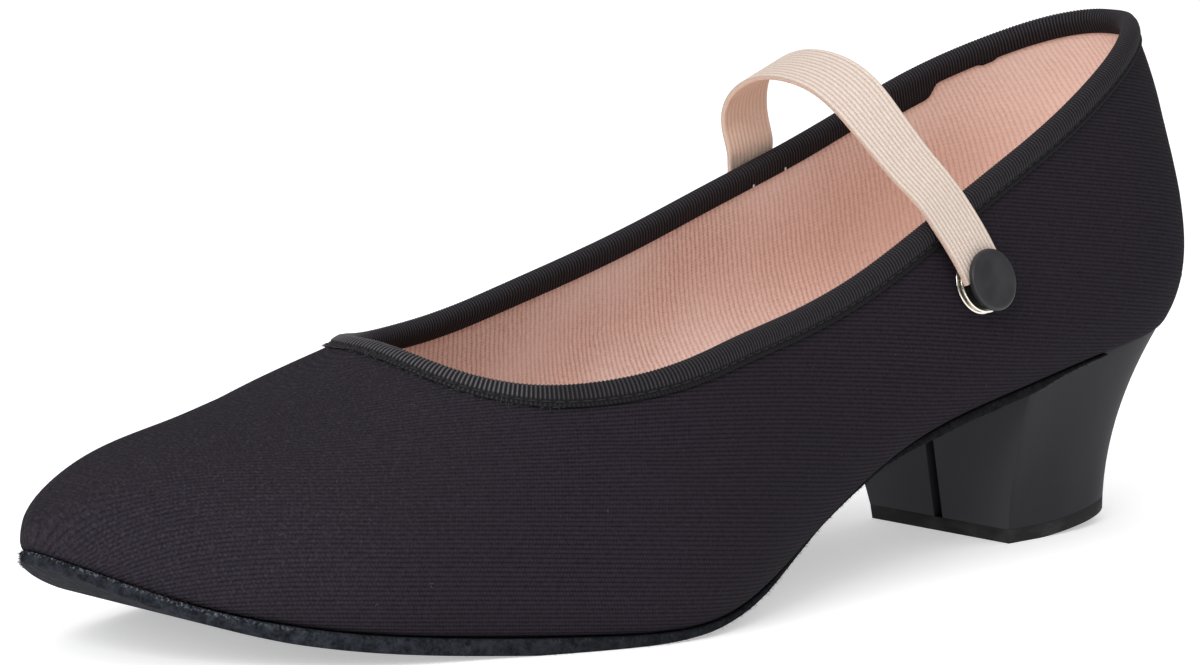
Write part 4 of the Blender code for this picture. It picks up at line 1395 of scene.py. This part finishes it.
def add_moulded(name, levels, material, slot, node, bevel, tool=None):
    """Body between stacked outlines with rounded edges, less what a tool cuts out of it."""
    piece = add_piece(name, *stacked(levels), material, slot, (node,), sharp=HEEL_SHARP)
    settle(piece.data, merge=True)
    if tool:
        cut = piece.modifiers.new("slot", "BOOLEAN")
        cut.object = tool
        cut.operation = "DIFFERENCE"
    edges = piece.modifiers.new("edges", "BEVEL")
    edges.width = bevel * MILLIMETRE
    edges.segments = BEVEL_STEPS
    edges.limit_method = "ANGLE"
    edges.angle_limit = math.radians(HEEL_SHARP)
    deps = bpy.context.evaluated_depsgraph_get()
    mesh = bpy.data.meshes.new_from_object(piece.evaluated_get(deps))
    piece.modifiers.clear()
    piece.data = mesh
    soften(mesh, HEEL_SHARP)


def slot_tool():
    """Block that cuts the slot up the heel's breast."""
    ends = (
        (BREAST_TOP - SLOT_DEPTH, SEAT_HEIGHT),
        (BREAST_TOP + SLOT_DEPTH, SEAT_HEIGHT),
        (BREAST_FOOT + SLOT_DEPTH, LIFT_THICKNESS / 2),
        (BREAST_FOOT - SLOT_DEPTH, LIFT_THICKNESS / 2),
    )
    corners = [(x, y, z) for x, z in ends for y in (-SLOT_WIDTH / 2, SLOT_WIDTH / 2)]
    faces = tube_faces(4, 2, "joined")[::2] + [[6, 4, 2, 0], [1, 3, 5, 7]]
    mesh = bpy.data.meshes.new("slot")
    mesh.from_pydata(to_frame(corners).tolist(), [], faces)
    return link("slot", mesh)


def add_heel():
    """Moulded heel block with a concave back and a slot up the breast."""
    step = (sole_step() - HEEL_BACK_TOP) / (BREAST_TOP - HEEL_BACK_TOP)
    runs = np.linspace(0, 1, HEEL_ROWS) ** HEEL_ROW_POWER
    runs = np.sort(np.append(runs, [step - SMALL, step + SMALL]))
    foot = LIFT_THICKNESS + LIFT_GAP / 2 + heel_rise(runs)
    top_x = heel_outline(0.0, runs)[0]
    levels = []
    for down in np.linspace(0, 1, HEEL_LEVELS) ** HEEL_LEVEL_POWER:
        x, y = heel_outline(down * (1 - LIFT_THICKNESS / SEAT_HEIGHT), runs)
        top = heel_shoulder(top_x) if down else heel_seat(top_x)
        levels.append((x, y, between(foot, top, 1 - down)))
    tool = slot_tool()
    add_moulded("heel_block", levels, heel_plastic(), "heel_plastic", "heel", HEEL_BEVEL, tool)
    bpy.data.objects.remove(tool, do_unlink=True)


def add_lift():
    """Rubber lift under the heel."""
    runs = np.linspace(0, 1, HEEL_ROWS) ** HEEL_ROW_POWER
    levels = []
    for share, height in ((1 - LIFT_THICKNESS / SEAT_HEIGHT, LIFT_THICKNESS - LIFT_GAP / 2), (1.0, 0.0)):
        x, y = heel_outline(share, runs)
        levels.append((x, y, height + heel_rise(runs)))
    add_moulded("heel_top_lift", levels, rubber(), "rubber", "heel_lift", LIFT_BEVEL)


def snap_place():
    """Point on the outer wall under the snap, with the wall's normal there."""
    turn = turn_of(SNAP_STATION)
    angle = height_angle(turn, SNAP_HEIGHT)
    return wall_point(turn, angle, 1), wall_normal(turn, angle, 1)


def collar_crossing(station, side):
    """Collar point at a station, with the wall's normal and the way up the wall."""
    turns, angles = collar_line(side, FINE)
    turn = turn_of(station)
    angle = np.interp(turn, turns, angles)
    point = wall_point(turn, angle, side)
    up = unit(point - wall_point(turn, angle - SMALL, side))
    return point, wall_normal(turn, angle, side), up


def strap_arch(outer, inner):
    """Middle of the strap's collar crossings, and the ways across, up and square to its arch."""
    across = unit(outer - inner)
    lean = math.radians(STRAP_LEAN)
    square = unit(np.cross(across, (math.sin(lean), 0, math.cos(lean))))
    return (outer + inner) / 2, across, np.cross(square, across), square


def sewn_points(top, over_tape):
    """Points of the strap's sewn end down the inner wall: over the tape's edge, and close to the wall."""
    turn = turn_of(STRAP_INNER_STATION)
    points = []
    for share, off in ((0.5, over_tape), (1.0, 2 * GAP + STRAP_THICKNESS / 2)):
        angle = height_angle(turn, top - STRAP_SEWN_LENGTH * share)
        points.append(wall_point(turn, angle, -1) + wall_normal(turn, angle, -1) * off)
    return points


def strap_route():
    """Middle points and width directions of the strap, from the snap to its sewn end."""
    outer, outer_normal, _ = collar_crossing(STRAP_OUTER_STATION, 1)
    inner, inner_normal, inner_up = collar_crossing(STRAP_INNER_STATION, -1)
    place, normal = snap_place()
    over_tape = STRAP_OVER_TAPE + 4 * GAP + STRAP_THICKNESS / 2
    over_base = SNAP_BASE_LIFT + SNAP_BASE_THICKNESS + GAP + STRAP_THICKNESS / 2
    to_collar = outer - place
    to_collar = unit(to_collar - normal * np.dot(to_collar, normal))
    middle, across, up, square = strap_arch(outer, inner)
    outer_width = unit(np.cross(outer_normal, to_collar))
    inner_width = unit(np.cross(inner_up, inner_normal))
    inner_width = inner_width * np.sign(np.dot(inner_width, square))
    seat = place + normal * over_base
    route = [(seat + to_collar * way, np.cross(normal, to_collar)) for way in (STRAP_START, SNAP_BASE_RADIUS)]
    route.append((outer + outer_normal * over_tape, outer_width))
    for i, (sideways, upward) in enumerate(ARCH.rows):
        outer_share = max(1 - i / STRAP_TURN_ROWS, 0)
        inner_share = max(1 - (len(ARCH.rows) - i) / STRAP_TURN_ROWS, 0)
        width = square * (1 - outer_share - inner_share)
        width = width + outer_width * outer_share + inner_width * inner_share
        route.append((middle + across * sideways + up * upward, unit(width)))
    route.append((inner + inner_normal * over_tape, inner_width))
    route += [(point, inner_width) for point in sewn_points(inner[2], over_tape)]
    middles, widths = zip(*route)
    return np.array(middles), np.array(widths)


def cord_profile():
    """Places across the strap, heights over its middle and crest values, once around."""
    steps = STRAP_CORDS * CORD_STEPS
    span = np.linspace(1, -1, steps + 1)
    crest = np.abs(np.sin(np.linspace(0, math.pi * STRAP_CORDS, steps + 1))) ** STRAP_CORD_POWER
    deep = STRAP_THICKNESS / 2 - STRAP_CORD_DEPTH * (1 - crest)
    across = np.concatenate([span, span[::-1]]) * STRAP_WIDTH / 2
    return across, np.concatenate([deep, -deep[::-1]]), np.concatenate([crest, crest[::-1]])


def strap_course():
    """Ways along the strap, and its middle points and directions of width and thickness there."""
    middles, widths = strap_route()
    places = lengths_along(middles)
    ways = np.linspace(0, places[-1], STRAP_ROWS)
    path = spline(places, middles)
    along = unit(path(ways + SMALL) - path(ways - SMALL))
    width = spline(places, widths)(ways)
    width = unit(width - along * np.sum(width * along, axis=1, keepdims=True))
    return ways, path(ways), width, np.cross(along, width)


def add_strap():
    """Elastic band from under the snap cap, over the opening, to the inner wall."""
    ways, centre, width, thick = strap_course()
    across, deep, crest = cord_profile()
    loops = centre[:, None] + width[:, None] * across[:, None] + thick[:, None] * deep[:, None]
    outward = np.sign(thick[STRAP_ROWS // 2, 2])
    layers = {
        "crest": np.tile(crest, STRAP_ROWS),
        "run": np.repeat(ways, len(across)),
        # The inner face, which the elastic's painted pink bounce light is put on
        "inside": np.tile(deep * outward < 0, STRAP_ROWS),
    }
    add_loops("strap_elastic", loops, "capped", elastic(), "elastic", ("elastic_strap",),
              sharp=STRAP_SHARP, layers=layers)
    add_strap_seams(ways, centre, width, thick)


def add_strap_seams(ways, centre, width, thick):
    """Rows of stitches across the strap's sewn end."""
    spans = np.arange(STRAP_STITCHES)[:, None] + np.linspace(*STRAP_STITCH_SPAN, len(THREAD_TAPER))
    offsets = (spans / STRAP_STITCHES * 2 - 1) * (STRAP_WIDTH / 2 - STRAP_STITCH_INSET)
    lift = STRAP_THICKNESS / 2 + np.array(STRAP_STITCH_BOW)
    off_wall = np.sign(thick[-1] @ (centre[-1] - centre[STRAP_ROWS // 2]))
    rows = np.searchsorted(ways, ways[-1] - np.array(STRAP_SEAMS))
    guides = np.repeat(thick[rows] * off_wall, STRAP_STITCHES, axis=0)
    paths = [centre[k] + width[k] * offsets[:, :, None] + thick[k] * off_wall * lift[:, None] for k in rows]
    material = thread("cream_thread", (0.62, 0.52, 0.44))
    add_tubes("strap_stitches", np.concatenate(paths), STITCH_RADIUS * THREAD_TAPER, guides, THREAD_SIDES,
              material, "elastic")


def add_turned(name, profile, material, slot, node):
    """Round piece on the snap's axis."""
    place, normal = snap_place()
    first = unit(np.cross(normal, (0.0, 0.0, 1.0)))
    second = np.cross(normal, first)
    turns = 2 * math.pi * np.arange(SNAP_SIDES) / SNAP_SIDES
    spokes = first * np.cos(turns)[:, None] + second * np.sin(turns)[:, None]
    points = place + normal * profile["height"][:, None, None] + spokes * profile["radius"][:, None, None]
    add_loops(name, points, "capped", material, slot, (node,), sharp=SNAP_SHARP)


def add_lint():
    """Pale fibres caught on the cloth."""
    turns = chance.uniform(*LINT_TURNS, LINT_COUNT)
    sides = np.where(chance.random(LINT_COUNT) < LINT_OUTER_SHARE, 1.0, -1.0)
    angles = np.zeros(LINT_COUNT)
    for side in (1, -1):
        collar_turns, collar_angles = collar_line(side, FINE)
        top = np.interp(turns, collar_turns, collar_angles, right=math.pi / 2)
        angles = np.where(sides == side, top * chance.uniform(*LINT_CLIMBS, LINT_COUNT), angles)
    normals = wall_normal(turns, angles, sides)
    base = wall_point(turns, angles, sides) + normals * LINT_OFF
    way = unit(np.cross(normals, unit(chance.normal(0, 1, (LINT_COUNT, 3)))))
    lengths = LINT_LENGTH * np.maximum(chance.random((LINT_COUNT, 1)) ** LINT_SHORTNESS, LINT_SHORTEST)
    bend = np.cross(normals, way) * lengths * chance.normal(0, LINT_BEND, (LINT_COUNT, 1))
    ends = np.linspace(-1, 1, len(THREAD_TAPER))
    paths = base[:, None] + way[:, None] * (lengths * ends)[:, :, None] + bend[:, None] * (ends ** 2)[:, None]
    material = thread("lint_fibre", (0.15, 0.145, 0.155))
    add_tubes("lint", paths, LINT_RADIUS * THREAD_TAPER, normals, LINT_SIDES, material, "canvas")


def add_stage():
    """Pale floor and soft studio light."""
    mesh = bpy.data.meshes.new("floor")
    corners = [(x * FLOOR_HALF, y * FLOOR_HALF, 0.0) for x, y in ((-1, -1), (1, -1), (1, 1), (-1, 1))]
    mesh.from_pydata(corners, [], [(0, 1, 2, 3)])
    look = Surface("floor", (0.9, 0.9, 0.9), 0.9, Specular_IOR_Level=0.1, Emission_Strength=FLOOR_GLOW)
    look.shader.inputs["Emission Color"].default_value = (1.0, 1.0, 1.0, 1.0)
    mesh.materials.append(look.material)
    link("floor", mesh)
    world = bpy.data.worlds.new("studio")
    world.use_nodes = True
    sky = world.node_tree.nodes["Background"]
    sky.inputs["Color"].default_value = (1.0, 1.0, 1.0, 1.0)
    sky.inputs["Strength"].default_value = SKY_STRENGTH
    bpy.context.scene.world = world
    for name, (place, size, power) in LAMPS.items():
        light = bpy.data.lights.new(name, "AREA")
        light.energy = power
        light.size = size
        spot = np.array(place)
        back = unit(spot - np.array(LAMP_AIM))
        side = unit(np.cross(LAMP_UP, back))
        link(name, light).matrix_world = placed(side, np.cross(back, side), back, spot)


def placed(right, up, back, spot):
    """Matrix of a camera or lamp from its three directions and its place in metres."""
    matrix = np.eye(4)
    matrix[:3, :4] = np.stack([right, up, back, spot], axis=1)
    return Matrix(matrix.tolist())


def add_camera():
    """Camera at the photograph's angle."""
    azimuth, elevation, roll = np.radians((CAMERA_AZIMUTH, CAMERA_ELEVATION, CAMERA_ROLL))
    back = np.array([math.sin(azimuth) * math.cos(elevation), math.cos(azimuth) * math.cos(elevation),
                     math.sin(elevation)])
    level = unit(np.cross((0.0, 0.0, 1.0), back))
    upright = np.cross(back, level)
    right = level * math.cos(roll) + upright * math.sin(roll)
    up = upright * math.cos(roll) - level * math.sin(roll)
    data = bpy.data.cameras.new("camera")
    data.sensor_width = SENSOR
    data.lens = SENSOR * CAMERA_FOCAL
    data.shift_x, data.shift_y = CAMERA_SHIFT
    camera = link("camera", data)
    camera.matrix_world = placed(right, up, back, to_frame(np.array(CAMERA_TARGET) + back * CAMERA_DISTANCE))
    bpy.context.scene.camera = camera


add_upper()
add_tape()
add_outsole()
add_insole()
add_heel()
add_lift()
add_strap()
add_turned("snap_socket", SOCKET, nickel(), "nickel", "snap_base")
add_turned("snap_button", BUTTON, cap_plastic(), "cap_plastic", "snap_cap")
add_lint()
add_stage()
add_camera()
bpy.context.scene.view_settings.view_transform = "Standard"
